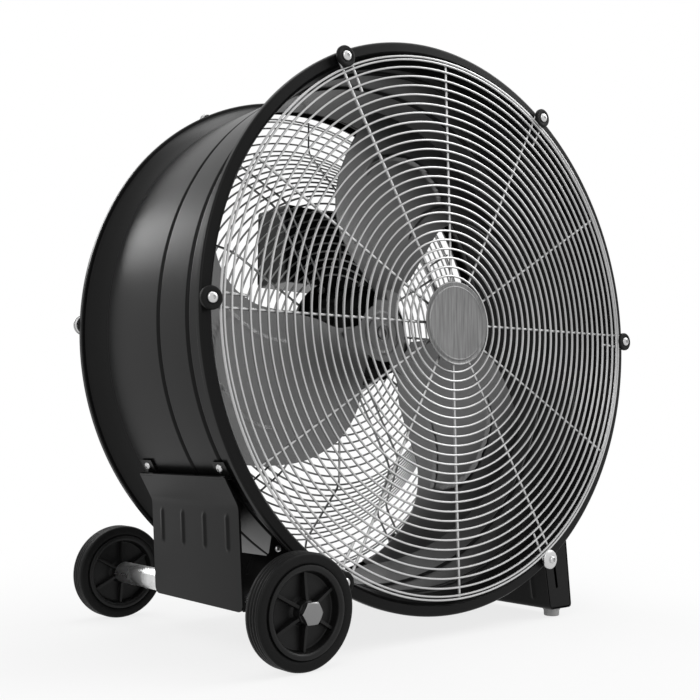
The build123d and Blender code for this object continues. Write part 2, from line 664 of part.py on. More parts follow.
def make_cord_gland():
    """Hexagonal nut and tapered cap under the box, bored for the supply cord."""
    floor_z = AXIS_Z + BOX_MIDDLE_Z - BOX_HEIGHT / 2
    place = (GLAND_X, (BOX_FRONT + BOX_BACK) / 2)
    with BuildPart() as cord_gland:
        with BuildSketch(Plane.XY.offset(floor_z)):
            with Locations(place):
                RegularPolygon(GLAND_NUT_R, 6)
        extrude(amount=-GLAND_NUT)
        with BuildSketch(Plane.XY.offset(floor_z - GLAND_NUT)):
            with Locations(place):
                Circle(GLAND_R)
        extrude(amount=-GLAND_CAP, taper=GLAND_TAPER)
        with BuildSketch(Plane.XY.offset(floor_z)):
            with Locations(place):
                Circle(GLAND_BORE_R)
        extrude(amount=-(GLAND_NUT + GLAND_CAP), mode=Mode.SUBTRACT)
    finish(cord_gland, "cord_gland")


# ---- wheels and axle --------------------------------------------------------------------
WHEEL_Z = WHEEL_R
HEAD_Y = WHEEL_MID_Y + HUB_WIDTH / 2 + SIDE_GAP
TUBE_END = WHEEL_MID_Y - HUB_WIDTH / 2 - SIDE_GAP
WHEEL_AXIS = Axis((WHEEL_X, 0, WHEEL_Z), (0, 1, 0))
WHEEL_PROFILE = Plane(origin=(WHEEL_X, 0, WHEEL_Z), x_dir=(0, 1, 0), z_dir=(1, 0, 0))


def wheel_plane(y):
    """Plane across the wheels' axle at depth y, seen from the front."""
    return Plane(origin=(WHEEL_X, y, WHEEL_Z), x_dir=(1, 0, 0), z_dir=(0, -1, 0))


def make_tyre(label, middle):
    """Rubber tyre with sloping shoulders and grooves round its tread."""
    side = TREAD_WIDTH / 2
    tread = side - TYRE_SHOULDER
    shoulder_r = WHEEL_R - TYRE_SHOULDER
    line = [(middle - side, TYRE_INNER_R), (middle - side, shoulder_r), (middle - tread, WHEEL_R)]
    for i in range(TREAD_GROOVES):
        y = middle - tread + 2 * tread * (i + 0.5) / TREAD_GROOVES
        line += [(y - TREAD_GROOVE / 2, WHEEL_R), (y, WHEEL_R - TREAD_GROOVE)]
        line.append((y + TREAD_GROOVE / 2, WHEEL_R))
    line += [(middle + tread, WHEEL_R), (middle + side, shoulder_r), (middle + side, TYRE_INNER_R)]
    with BuildPart() as tyre:
        with BuildSketch(WHEEL_PROFILE):
            with BuildLine():
                Polyline(*line, close=True)
            make_face()
        revolve(axis=WHEEL_AXIS)
    finish(tyre, label)


def make_wheel_hub(label, middle):
    """Plastic wheel: rim, web, ribs on both sides and a boss for the axle."""
    rim_width = TREAD_WIDTH + 2 * HUB_RIM_OUT
    rib_width = TREAD_WIDTH - 2 * RIB_INSET
    with BuildPart() as hub:
        with BuildSketch(wheel_plane(middle + rim_width / 2)):
            Circle(TYRE_INNER_R)
            Circle(HUB_LIP_R, mode=Mode.SUBTRACT)
        extrude(amount=rim_width)
        with BuildSketch(wheel_plane(middle + WEB / 2)):
            Circle((TYRE_INNER_R + HUB_LIP_R) / 2)
        extrude(amount=WEB)
        with BuildSketch(wheel_plane(middle + HUB_WIDTH / 2)):
            Circle(WHEEL_BOSS_R)
        extrude(amount=HUB_WIDTH)
        with BuildSketch(wheel_plane(middle + rib_width / 2)):
            with PolarLocations((HUB_LIP_R + WHEEL_BOSS_R) / 2, RIBS, start_angle=180 / RIBS):
                Rectangle(HUB_LIP_R - WHEEL_BOSS_R + RIB, RIB)
        extrude(amount=rib_width)
        with BuildSketch(wheel_plane(middle + HUB_WIDTH)):
            Circle(AXLE_R + WHEEL_FIT)
        extrude(amount=2 * HUB_WIDTH, mode=Mode.SUBTRACT)
    finish(hub, label)


def make_axle():
    """Axle tube, its end plugs, the long bolt through both wheels and its nut."""
    with BuildPart() as axle_tube:
        with BuildSketch(wheel_plane(TUBE_END)):
            Circle(TUBE_R)
            Circle(TUBE_R - TUBE_WALL, mode=Mode.SUBTRACT)
        extrude(amount=2 * TUBE_END)
    finish(axle_tube, "axle_tube")
    with BuildPart() as tube_plugs:
        for y in (TUBE_END, -TUBE_END + PLUG):
            with BuildSketch(wheel_plane(y)):
                Circle(TUBE_R - TUBE_WALL)
                Circle(AXLE_R + SHAFT_FIT, mode=Mode.SUBTRACT)
            extrude(amount=PLUG)
    finish(tube_plugs, "axle_tube_plugs")
    with BuildPart() as axle_bolt:
        with BuildSketch(wheel_plane(-HEAD_Y)):
            RegularPolygon(BOLT_ACROSS_FLATS / sqrt(3), 6)
        extrude(amount=BOLT_HEAD)
        chamfer(axle_bolt.faces().sort_by(Axis.Y)[0].edges(), length=BOLT_CHAMFER)
        with BuildSketch(wheel_plane(-HEAD_Y)):
            Circle(AXLE_R)
        extrude(amount=-(2 * HEAD_Y + BOLT_HEAD))
    finish(axle_bolt, "axle_bolt")
    with BuildPart() as axle_nut:
        with BuildSketch(wheel_plane(HEAD_Y)):
            RegularPolygon(BOLT_ACROSS_FLATS / sqrt(3), 6)
            Circle(AXLE_R + SHAFT_FIT, mode=Mode.SUBTRACT)
        extrude(amount=-BOLT_HEAD)
    finish(axle_nut, "axle_nut")


# ---- brackets ---------------------------------------------------------------------------
def drum_envelope(gap):
    """Solid of the drum's outside, grown by gap, used to seat the brackets on it."""
    line = [(y, radius + gap) for y, radius in drum_outline() if radius >= DRUM_R]
    front, rear = FRONT_Y - CUT_MARGIN, REAR_Y + CUT_MARGIN
    line = [(front, line[0][1])] + line[1:-1] + [(rear, line[-1][1])]
    with BuildPart(mode=Mode.PRIVATE) as envelope:
        with BuildSketch(PROFILE):
            with BuildLine():
                Polyline((front, 0), *line, (rear, 0), close=True)
            make_face()
        revolve(axis=DRUM_AXIS)
    return envelope.part


def end_wall(y, outline):
    """Outline of a bracket's end wall, on the plane of its rear side."""
    with BuildSketch(facing(y)) as wall:
        with BuildLine():
            Polyline(*outline, close=True)
        make_face()
    return wall.sketch


def make_wheel_bracket():
    """Folded plate with a flange along the drum, a hanging side and two end walls that carry the axle."""
    foot_x, foot_z = PLATE_FOOT
    wall_z = (BEND[1] + foot_z) / 2 + BRACKET_CORNER
    lap = BRACKET_SHEET / 2
    lean = (foot_x - BEND[0]) * (wall_z - BEND[1]) / (foot_z - BEND[1])
    wall = [(BEND[0] + lean + lap, wall_z), (foot_x + lap, foot_z), (BRACKET_INNER_X, foot_z)]
    wall += [(BRACKET_INNER_X, BEND[1]), (WALL_TOP[0] + BRACKET_CORNER, BEND[1]), WALL_TOP]
    with BuildPart() as wheel_bracket:
        with BuildSketch(facing(DRUM_Y + BRACKET_HALF)):
            with BuildLine():
                Polyline(FLANGE_TOP, BEND, PLATE_FOOT)
                offset(amount=BRACKET_SHEET, side=Side.LEFT, kind=Kind.INTERSECTION)
            make_face()
        extrude(amount=2 * BRACKET_HALF)
        corners = wheel_bracket.edges().filter_by(Axis.X, tolerance=PLATE_LEAN).group_by(Axis.Z)[0]
        fillet(corners, radius=BRACKET_CORNER)
        for y in (DRUM_Y + BRACKET_HALF, DRUM_Y - BRACKET_HALF + BRACKET_SHEET):
            extrude(end_wall(y, wall), amount=BRACKET_SHEET)
        with BuildSketch(Plane.YZ.offset((BEND[0] + foot_x) / 2 - PRESSED_RIB_HEIGHT)):
            with Locations((DRUM_Y, AXIS_Z + RIB_TOP_Z - RIB_LENGTH / 2)):
                with GridLocations(RIB_PITCH, 0, PRESSED_RIBS, 1):
                    SlotOverall(RIB_LENGTH, PRESSED_RIB, rotation=90)
        extrude(amount=BRACKET_SHEET + PRESSED_RIB_HEIGHT)
        for side in (-1, 1):
            with BuildSketch(facing(DRUM_Y + side * (BRACKET_HALF - TAB_FROM_END) + TAB_WIDTH / 2)):
                with BuildLine():
                    Polyline(FLANGE_TOP, (0, FLANGE_TOP[1]), (0, FLANGE_TOP[1] - BRACKET_SHEET),
                             (FLANGE_TOP[0] + BRACKET_SHEET, FLANGE_TOP[1] - BRACKET_SHEET), close=True)
                make_face()
            extrude(amount=TAB_WIDTH)
        add(drum_envelope(DRUM_GAP), mode=Mode.SUBTRACT)
        with BuildSketch(wheel_plane(WHEEL_MID_Y)):
            Circle(TUBE_R + SCREW_FIT)
        extrude(amount=2 * WHEEL_MID_Y, mode=Mode.SUBTRACT)
    finish(wheel_bracket, "wheel_bracket")


def make_foot_bracket():
    """Tapered channel under the drum's right side with two closed ends, and a pad under each end."""
    bottom_z = FOOT_PAD_HEIGHT - AXIS_Z
    left_top, right_top = FOOT_TOP
    left, right = FOOT_BOTTOM
    outline = [(left_top, FOOT_TOP_Z), (left, bottom_z), (right, bottom_z), (right_top, FOOT_TOP_Z)]
    with BuildPart() as foot_bracket:
        with BuildSketch(facing(DRUM_Y + FOOT_HALF)):
            with BuildLine():
                Polyline(*outline)
                offset(amount=BRACKET_SHEET, side=Side.LEFT, kind=Kind.INTERSECTION)
            make_face()
        extrude(amount=2 * FOOT_HALF)
        for y in (DRUM_Y + FOOT_HALF, DRUM_Y - FOOT_HALF + BRACKET_SHEET):
            extrude(end_wall(y, outline), amount=BRACKET_SHEET)
        add(drum_envelope(DRUM_GAP), mode=Mode.SUBTRACT)
    finish(foot_bracket, "foot_bracket")
    with BuildPart() as foot_pads:
        with BuildSketch(Plane.XY.offset(FOOT_PAD_HEIGHT)):
            with Locations(((left + right) / 2, DRUM_Y)):
                with GridLocations(0, 2 * (FOOT_HALF - FOOT_PAD_FROM_END), 1, 2):
                    Circle(FOOT_PAD_R)
        extrude(amount=-FOOT_PAD_HEIGHT, taper=FOOT_PAD_TAPER)
    finish(foot_pads, "foot_pads")


os.makedirs("parts", exist_ok=True)
make_drum_shell()
make_front_grille()
make_rear_grille()
make_hub_badge()
make_front_clips()
make_rear_clips()
make_motor()
make_mount_screws()
make_motor_shaft()
make_fan_rotor()
make_rotor_boss()
make_control_box()
make_speed_knob()
make_cord_gland()
make_tyre("front_tyre", -WHEEL_MID_Y)
make_tyre("rear_tyre", WHEEL_MID_Y)
make_wheel_hub("front_wheel_hub", -WHEEL_MID_Y)
make_wheel_hub("rear_wheel_hub", WHEEL_MID_Y)
make_axle()
make_wheel_bracket()
make_foot_bracket()
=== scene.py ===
import json
from math import cos, hypot, pi, radians, sin

import bmesh
import bpy
import numpy as np
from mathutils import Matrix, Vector


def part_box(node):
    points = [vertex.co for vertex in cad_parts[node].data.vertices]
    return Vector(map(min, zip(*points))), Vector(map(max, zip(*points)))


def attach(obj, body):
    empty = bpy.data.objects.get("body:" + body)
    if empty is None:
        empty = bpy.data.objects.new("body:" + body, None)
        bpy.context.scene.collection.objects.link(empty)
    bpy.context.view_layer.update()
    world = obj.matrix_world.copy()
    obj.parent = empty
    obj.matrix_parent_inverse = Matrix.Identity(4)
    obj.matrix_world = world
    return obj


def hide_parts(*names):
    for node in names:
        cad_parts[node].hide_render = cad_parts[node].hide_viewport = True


# The looks of a drum fan on two wheels and a foot bracket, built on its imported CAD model.
# Metres, +Z up, the fan's front towards -Y, the origin on the floor in the middle of the length.

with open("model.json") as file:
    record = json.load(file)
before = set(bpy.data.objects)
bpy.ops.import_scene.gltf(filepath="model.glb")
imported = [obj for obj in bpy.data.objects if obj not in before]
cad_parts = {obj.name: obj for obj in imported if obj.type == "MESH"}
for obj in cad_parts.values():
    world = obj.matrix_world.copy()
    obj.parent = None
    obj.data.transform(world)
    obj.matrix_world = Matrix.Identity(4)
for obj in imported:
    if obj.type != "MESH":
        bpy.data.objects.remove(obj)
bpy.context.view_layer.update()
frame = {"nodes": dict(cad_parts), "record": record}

MM = 0.001


def lowest(node):
    return np.array(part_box(node)[0])


def highest(node):
    return np.array(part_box(node)[1])


def ends(node):
    return lowest(node), highest(node)


def middle(node):
    return sum(ends(node)) / 2


# ---- places read from the frame ----
DRUM_Y, AXIS_Z = middle("drum_shell")[1:]
FRONT_Y, REAR_Y = lowest("drum_shell")[1], highest("drum_shell")[1]
RIM_R = highest("drum_shell")[2] - AXIS_Z
FRONT_WIRE_BACK = highest("front_grille")[1]
REAR_WASHER = 1.5 * MM
REAR_WIRE_BACK = highest("rear_clip_washers")[1] - REAR_WASHER
BADGE_R, BADGE_BACK = highest("hub_badge")[:2]
ROTOR_Y = lowest("rotor_boss")[1] + 1.2 * MM
WHEEL_X, WHEEL_Z = middle("front_tyre")[::2]
WHEEL_R = highest("front_tyre")[2] - WHEEL_Z

# ---- sizes of the drum ----
DRUM_R = 330 * MM
SHEET = 1.5 * MM
RIM_SKIRT = 9 * MM
RIM_ROLL = 3.2 * MM
RIM_INNER_R = 335 * MM
LIP_CUT = 1.2 * MM
LIP_DEPTH = 4.5 * MM
FOLD = 1.5 * MM
FLARE_R = RIM_R - 6 * MM
FLARE_START = 39 * MM
FLARE_SAG = 0.9 * MM
GROOVES = (61.5 * MM, 126.5 * MM)
GROOVE_HALF = 4.5 * MM
GROOVE_DEPTH = 3 * MM
LEVEL = 0.8 * MM
SEAM_HALF = 1.7 * MM
SEAM_RISE = 0.8 * MM

# ---- sizes of the guards ----
RING_R = 1.4 * MM
RING_SEGMENTS = 180
RING_PITCH = 11.2 * MM
RING_FIRST_R = 59.2 * MM
RING_COUNT = 24
OUTER_RING_R = 328 * MM
OUTER_RING_HALF = 2 * MM
WELD = 0.4 * MM
SPOKES = 6
SPOKE_R = 1.7 * MM
SPOKE_TURN = radians(1.4)
HAIRPIN_START = 60 * MM
RETURN_LEG = 44 * MM
HALF_TURN = np.linspace(pi / 2, -pi / 2, 17)
FREE_SPOKE_R = 330.8 * MM
SPOKE_INNER_R = 30 * MM
SPOKE_BEND = 12 * MM
CLIP_R = 342 * MM
WASHER_R = 12.5 * MM
STEEL_CLIP = 5
DISH_OUTER_R = 284 * MM
DISH_INNER_R = 203 * MM
DISH_DEPTH = 78 * MM
TWIN_HALF = 10 * MM
BADGE_RING_R = 0.87 * BADGE_R


# ---- mesh making ----
def even_angles(count):
    return np.arange(count) * 2 * pi / count


def point(x, y, z):
    return np.stack(np.broadcast_arrays(x, y, z), -1)


def axis_at(x, z):
    """Place of a turned piece round an axis along Y; angle 0 is +X and turns to +Z."""
    return lambda y, radius, angle: point(x + radius * np.cos(angle), y, z + radius * np.sin(angle))


def upright_at(x, y):
    """The same round an upright axis."""
    return lambda height, radius, angle: point(x + radius * np.cos(angle), y + radius * np.sin(angle), height)


def plane_at(x, z):
    """Place of an outline round this point of a plane across Y."""
    return lambda outline, y: point(x + outline[:, 0], y, z + outline[:, 1])


around_drum = axis_at(0, AXIS_Z)
at_wheel = axis_at(WHEEL_X, WHEEL_Z)
in_section = plane_at(0, AXIS_Z)


def turned(profile, segments, place=around_drum):
    """Profile of (y, radius) rows carried round an axis."""
    profile = np.asarray(profile, float)
    return place(profile[:, 0][None, :], profile[:, 1][None, :], even_angles(segments)[:, None])


def unit(v):
    return v / np.linalg.norm(v, axis=-1, keepdims=True)


def square_to(v):
    """Vectors of a plane turned by a right angle."""
    return np.stack([v[..., 1], -v[..., 0]], -1)


class Shape:
    """Grids and fans gathered into one mesh."""

    def __init__(self):
        self.points = []
        self.faces = []
        self.count = 0

    def grid(self, points, close_rows=False, close_columns=False, flip=False):
        """Quads between neighbouring points, joined round where a direction is closed."""
        rows, columns = points.shape[:2]
        i = np.arange(rows if close_rows else rows - 1)[:, None]
        j = np.arange(columns if close_columns else columns - 1)
        i2, j2 = (i + 1) % rows, (j + 1) % columns
        faces = np.stack([i * columns + j, i2 * columns + j, i2 * columns + j2, i * columns + j2], -1)
        faces = faces.reshape(-1, 4)[:, ::-1 if flip else 1]
        self.faces += (faces + self.count).tolist()
        self.points.append(points.reshape(-1, 3))
        self.count += rows * columns

    def fan(self, loop, flip=False):
        """Flat cap over a loop of points."""
        order = range(self.count, self.count + len(loop))
        self.faces.append(order[::-1] if flip else order)
        self.points.append(loop)
        self.count += len(loop)

    def turn(self, profile, segments, place=around_drum, flip=False):
        """Turned solid: the profile's last point joins its first one."""
        self.grid(turned(profile, segments, place), close_rows=True, close_columns=True, flip=flip)

    def piece(self, name, body, material, slot, smooth):
        """Doubles merged, normals outward, sharp where faces meet above this angle."""
        mesh = bpy.data.meshes.new(name)
        mesh.from_pydata(np.concatenate(self.points).tolist(), [], self.faces)
        whole = bmesh.new()
        whole.from_mesh(mesh)
        bmesh.ops.remove_doubles(whole, verts=whole.verts, dist=2e-6)
        bmesh.ops.recalc_face_normals(whole, faces=whole.faces)
        whole.to_mesh(mesh)
        whole.free()
        mesh.update()
        shaded = bpy.data.objects.new(name, mesh)
        bpy.context.scene.collection.objects.link(shaded)
        mesh.materials.append(material)
        mesh.shade_smooth()
        mesh.set_sharp_from_angle(angle=radians(smooth))
        shaded.modifiers.new("level_large_faces", "WEIGHTED_NORMAL").keep_sharp = True
        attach(shaded, body)
        return shaded


def rows_from(y, radius, *steps):
    """Rows of a profile at these steps, in millimetres, from a depth and a radius."""
    return [(y + dy * MM, radius + dr * MM) for dy, dr in steps]


def mirrored(rows):
    """The rows of the other side, in the reverse order."""
    return [(-y, r) for y, r in rows[::-1]]


def arc(middle_y, middle_r, radius, start, end, steps=8):
    """Round stretch of a profile: points on a circle from one angle to another, in degrees."""
    a = np.radians(np.linspace(start, end, steps))
    return [(middle_y + radius * c, middle_r + radius * s) for c, s in zip(np.cos(a), np.sin(a))]


def swell(away, half):
    """Squared cosine of the distance: 1 at none, 0 from this half width on."""
    return np.cos(np.clip(away / half, 0, 1) * pi / 2) ** 2


def wire(shape, path, radius, sides=10, closed=False, up=(0, 1, 0)):
    """Circle carried square to the path, with one side kept towards up."""
    path = np.asarray(path, float)
    along = unit(np.roll(path, -1, 0) - np.roll(path, 1, 0) if closed else np.gradient(path, axis=0))
    side = unit(np.cross(along, up))
    top = np.cross(side, along)
    a = even_angles(sides)[None, :, None]
    points = path[:, None] + radius * (side[:, None] * np.cos(a) + top[:, None] * np.sin(a))
    shape.grid(points, close_rows=closed, close_columns=True, flip=True)
    if not closed:
        shape.fan(points[0])
        shape.fan(points[-1], flip=True)


def rounded_path(corners, radius, steps=6):
    """Straight runs joined by bends: quadratic curves that leave the runs at this distance from the corner."""
    corners = [np.asarray(c, float) for c in corners]
    path = [corners[0]]
    for before, corner, after in zip(corners, corners[1:], corners[2:]):
        start, end = (corner + unit(other - corner) * radius for other in (before, after))
        t = np.linspace(0, 1, steps)[:, None]
        path += list((1 - t) ** 2 * start + 2 * t * (1 - t) * corner + t * t * end)
    path.append(corners[-1])
    return np.array(path)


def sheet(shape, outer, inner):
    """Thin shell between two grids: both faces and the strip that joins their edges."""
    shape.grid(outer)
    shape.grid(inner)

    def edge(grid):
        return np.concatenate([grid[0, :], grid[1:, -1], grid[-1, -2::-1], grid[-2:0:-1, 0]])

    shape.grid(np.stack([edge(outer), edge(inner)]), close_columns=True)


def slab(shape, outline, y0, y1, place, edge=0.4 * MM):
    """Flat plate between two depths, its outline drawn in at both faces to round the edges."""
    outline = np.asarray(outline, float)
    normal = square_to(unit(np.roll(outline, -1, 0) - outline))
    before = np.roll(normal, 1, 0)
    out = (normal + before) / (1 + np.sum(normal * before, 1, keepdims=True))
    area = np.sum(outline[:, 0] * np.roll(outline[:, 1], -1) - np.roll(outline[:, 0], -1) * outline[:, 1])
    out *= np.sign(area)
    rows = [(y0, 1.0), (y0 + 0.3 * edge, 0.3), (y0 + edge, 0.0)]
    rows += [(y1 - edge, 0.0), (y1 - 0.3 * edge, 0.3), (y1, 1.0)]
    points = np.stack([place(outline - out * edge * inset, y) for y, inset in rows])
    shape.grid(points, close_columns=True)
    shape.fan(points[0])
    shape.fan(points[-1])


# ---- materials ----
def set_inputs(node, values):
    for label, value in values.items():
        node.inputs[label].default_value = value
    return node


def mottle_group():
    """Slow and fine variation of a surface: a value round 0.5 and a bump of the fine part."""
    group = bpy.data.node_groups.new("mottle", "ShaderNodeTree")
    sockets = [(label, "INPUT", "Float") for label in ("Slow", "Fine", "Bump", "Height")]
    sockets += [("Stretch", "INPUT", "Vector"), ("Value", "OUTPUT", "Float"), ("Normal", "OUTPUT", "Vector")]
    for label, way, kind in sockets:
        group.interface.new_socket(label, in_out=way, socket_type="NodeSocket" + kind)
    nodes, links = group.nodes, group.links
    given, out = nodes.new("NodeGroupInput"), nodes.new("NodeGroupOutput")
    stretch = nodes.new("ShaderNodeVectorMath")
    stretch.operation = "MULTIPLY"
    links.new(nodes.new("ShaderNodeTexCoord").outputs["Object"], stretch.inputs[0])
    links.new(given.outputs["Stretch"], stretch.inputs[1])
    slow = set_inputs(nodes.new("ShaderNodeTexNoise"), {"Detail": 3})
    fine = set_inputs(nodes.new("ShaderNodeTexNoise"), {"Detail": 2})
    for label, noise in (("Slow", slow), ("Fine", fine)):
        links.new(stretch.outputs["Vector"], noise.inputs["Vector"])
        links.new(given.outputs[label], noise.inputs["Scale"])
    bump = nodes.new("ShaderNodeBump")
    links.new(given.outputs["Bump"], bump.inputs["Strength"])
    links.new(given.outputs["Height"], bump.inputs["Distance"])
    links.new(fine.outputs["Fac"], bump.inputs["Height"])
    links.new(slow.outputs["Fac"], out.inputs["Value"])
    links.new(bump.outputs["Normal"], out.inputs["Normal"])
    return group


MOTTLE = mottle_group()


def nodes_of(thing):
    thing.use_nodes = True
    return thing.node_tree.nodes, thing.node_tree.links


def span(nodes, links, value, low, high, least=0.3, most=0.7, kind="LINEAR"):
    """Number that runs from low to high as value runs from least to most, a noise's usual range."""
    run = nodes.new("ShaderNodeMapRange")
    run.interpolation_type = kind
    set_inputs(run, {"From Min": least, "From Max": most, "To Min": low, "To Max": high})
    links.new(value, run.inputs["Value"])
    return run.outputs["Result"]


def tint(nodes, links, value, dark, light):
    mix = nodes.new("ShaderNodeMix")
    mix.data_type = "RGBA"
    set_inputs(mix, {"A": (dark, dark, dark, 1), "B": (light, light, light, 1)})
    links.new(value, mix.inputs["Factor"])
    return mix.outputs["Result"]


def finish_of(
    name, dark, light, smoothest, roughest, metallic=0.0, specular=0.5,
    slow=6, fine=300, bump=0.1, height=0.0005, stretch=(1, 1, 1),
):
    """Principled finish whose grey and roughness vary slowly over the piece, with a fine bump."""
    material = bpy.data.materials.new(name)
    nodes, links = nodes_of(material)
    shader = set_inputs(nodes["Principled BSDF"], {"Metallic": metallic, "Specular IOR Level": specular})
    mottle = nodes.new("ShaderNodeGroup")
    mottle.node_tree = MOTTLE
    set_inputs(mottle, {"Slow": slow, "Fine": fine, "Bump": bump, "Height": height, "Stretch": stretch})
    value = mottle.outputs["Value"]
    share = span(nodes, links, value, 0, 1)
    links.new(tint(nodes, links, share, dark, light), shader.inputs["Base Color"])
    links.new(span(nodes, links, value, smoothest, roughest), shader.inputs["Roughness"])
    links.new(mottle.outputs["Normal"], shader.inputs["Normal"])
    return material


BLACK = {"specular": 0.11}
METAL = {"metallic": 1.0}
# each row: dark and light grey, least and greatest roughness, and what else differs
FINISH_ROWS = {
    "black_powder_coat": (0.005, 0.007, 0.27, 0.33, dict(BLACK, fine=900)),
    "zinc_wire": (0.42, 0.54, 0.3, 0.42, dict(METAL, fine=700, bump=0.08)),
    "brushed_badge": (0.15, 0.25, 0.3, 0.44, dict(METAL, slow=60, fine=900, bump=0.25, stretch=(7, 1, 0.4))),
    "black_rubber": (0.006, 0.011, 0.45, 0.55, dict(BLACK, fine=1200, bump=0.15)),
    "zinc_screw": (0.5, 0.62, 0.25, 0.38, METAL),
    "motor_black": (0.005, 0.009, 0.45, 0.55, dict(BLACK, fine=800, bump=0.2)),
    "steel_shaft": (0.35, 0.45, 0.25, 0.35, METAL),
    "satin_aluminium": (0.15, 0.19, 0.3, 0.36, dict(METAL, slow=4)),
    "black_plastic": (0.005, 0.009, 0.36, 0.46, dict(fine=1500, bump=0.2, specular=0.22)),
    "black_tread": (0.005, 0.01, 0.4, 0.5, dict(BLACK, fine=1500, bump=0.2)),
    "bright_tube": (
        0.72, 0.9, 0.22, 0.34, dict(METAL, slow=40, fine=70, bump=0.5, height=0.001, stretch=(1, 0.5, 1))
    ),
    "bright_bolt": (0.2, 0.26, 0.3, 0.4, METAL),
    "grey_foot": (0.4, 0.5, 0.45, 0.55, {}),
}
FINISHES = {name: finish_of(name, *values, **rest) for name, (*values, rest) in FINISH_ROWS.items()}
SLOT_OF = {entry["node"]: entry["material_slot"] for entry in frame["record"]["subparts"]}
for node, thing in frame["nodes"].items():
    thing.data.materials.clear()
    thing.data.materials.append(FINISHES[SLOT_OF[node]])


def dress(shape, name, node, smooth=35, body="frame"):
    """Show this shape in place of the CAD node, in the node's finish."""
    slot = SLOT_OF[node]
    shown = shape.piece(name, body, FINISHES[slot], slot, smooth)
    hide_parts(node)


# ---- drum ----
def bead(y):
    """Rolled groove: a dip along a cosine, level close beside it."""
    t = np.linspace(-1, 1, 13)
    dip = [(y + GROOVE_HALF * k, DRUM_R - GROOVE_DEPTH * (1 + np.cos(pi * k)) / 2) for k in t]
    beside = GROOVE_HALF + LEVEL
    return [(y - beside, DRUM_R)] + dip + [(y + beside, DRUM_R)]


def drum_half(rim_y, way):
    """Outside of one end: the rim's roll and lip, the flare, which sags along a sine, and the soft ridge where
    the drum starts."""
    roll_y, lip = rim_y + way * RIM_ROLL, rim_y + way * RIM_SKIRT
    outline = [(rim_y + way * 2.5 * RIM_ROLL, RIM_INNER_R - SHEET)]
    outline += [(roll_y, RIM_INNER_R), (rim_y, RIM_INNER_R + RIM_ROLL)]
    outline += arc(roll_y, RIM_R - RIM_ROLL, RIM_ROLL, 180 if way > 0 else 0, 90)
    outline += [(lip - way * LIP_CUT, RIM_R), (lip, RIM_R - LIP_CUT), (lip, RIM_R - LIP_DEPTH)]
    start, end = lip + way * FOLD, rim_y + way * FLARE_START
    outline += [
        (start + (end - start) * k, FLARE_R + (DRUM_R - FLARE_R) * k - FLARE_SAG * np.sin(pi * k))
        for k in np.linspace(0, 1, 10)
    ]
    k = np.linspace(-1, 1, 9)[1:]
    ridge = [(end + way * SEAM_HALF * (1 + i), DRUM_R + SEAM_RISE * (1 + np.cos(pi * i)) / 2) for i in k]
    return outline + ridge + [(ridge[-1][0] + way * LEVEL, DRUM_R)]


def make_drum_skin():
    """The outside, with the inside one sheet below it as far as the flares' tops."""
    outside = drum_half(FRONT_Y, 1)
    for groove in GROOVES:
        outside += bead(FRONT_Y + groove)
    outside += drum_half(REAR_Y, -1)[::-1]
    outside = np.array(outside)
    inside = outside[3:-3] - (0, SHEET)
    inside = inside[inside[:, 1] < FLARE_R]
    shape = Shape()
    shape.turn(np.concatenate([outside, inside[::-1]]), 300, flip=True)
    dress(shape, "drum_skin", "drum_shell", smooth=32)


# ---- guards ----
def ring(shape, y, radius):
    wire(shape, around_drum(y, radius, even_angles(RING_SEGMENTS)), RING_R, sides=8, closed=True)


def outer_rings(shape, y):
    for side in (-1, 1):
        ring(shape, y, OUTER_RING_R + side * OUTER_RING_HALF)


def plane_point(y, along, across, angle):
    """Point of a plane across the drum: so far out along the angle, and so far beside it."""
    x = along * np.cos(angle) - across * np.sin(angle)
    z = along * np.sin(angle) + across * np.cos(angle)
    return point(x, y, AXIS_Z + z)


def washer_profile(y0, y1, r0, r1):
    """Rectangle with its two outer corners cut off."""
    edge = 0.8 * MM
    return [(y0, r0), (y0, r1 - edge), (y0 + edge, r1), (y1 - edge, r1), (y1, r1 - edge), (y1, r0)]


def make_front_wires():
    """Rings, hairpin spokes that turn round the clip screws, free spokes, and the hub's disc."""
    shape = Shape()
    spoke_y = FRONT_WIRE_BACK - SPOKE_R
    ring_y = FRONT_WIRE_BACK - 2 * SPOKE_R + WELD - RING_R
    for i in range(RING_COUNT):
        ring(shape, ring_y, RING_FIRST_R + RING_PITCH * i)
    outer_rings(shape, ring_y)
    side = CLIP_R * sin(SPOKE_TURN)
    along = [[SPOKE_INNER_R, CLIP_R - HAIRPIN_START], CLIP_R + side * np.cos(HALF_TURN), [CLIP_R - RETURN_LEG]]
    across = [[side * 0.1, side * 0.82], side * np.sin(HALF_TURN), [-side * 0.8]]
    along, across = np.concatenate(along), np.concatenate(across)
    for i in range(SPOKES):
        angle = 2 * pi * i / SPOKES
        wire(shape, plane_point(spoke_y, along, across, angle), SPOKE_R)
        angle += pi / SPOKES + SPOKE_TURN
        wire(shape, plane_point(spoke_y, np.linspace(SPOKE_INNER_R, FREE_SPOKE_R, 4), 0, angle), SPOKE_R)
    shape.turn(washer_profile(BADGE_BACK, FRONT_WIRE_BACK, 0, SPOKE_INNER_R + 3 * MM), 96)
    dress(shape, "front_guard_wires", "front_grille", smooth=40)


def rear_line(outer_r):
    """Corners of a rear spoke's back: in from this radius, down the dish's side and in to the hub."""
    back, dish = REAR_WIRE_BACK, REAR_WIRE_BACK - DISH_DEPTH
    return [(back, outer_r), (back, DISH_OUTER_R), (dish, DISH_INNER_R), (dish, SPOKE_INNER_R)]


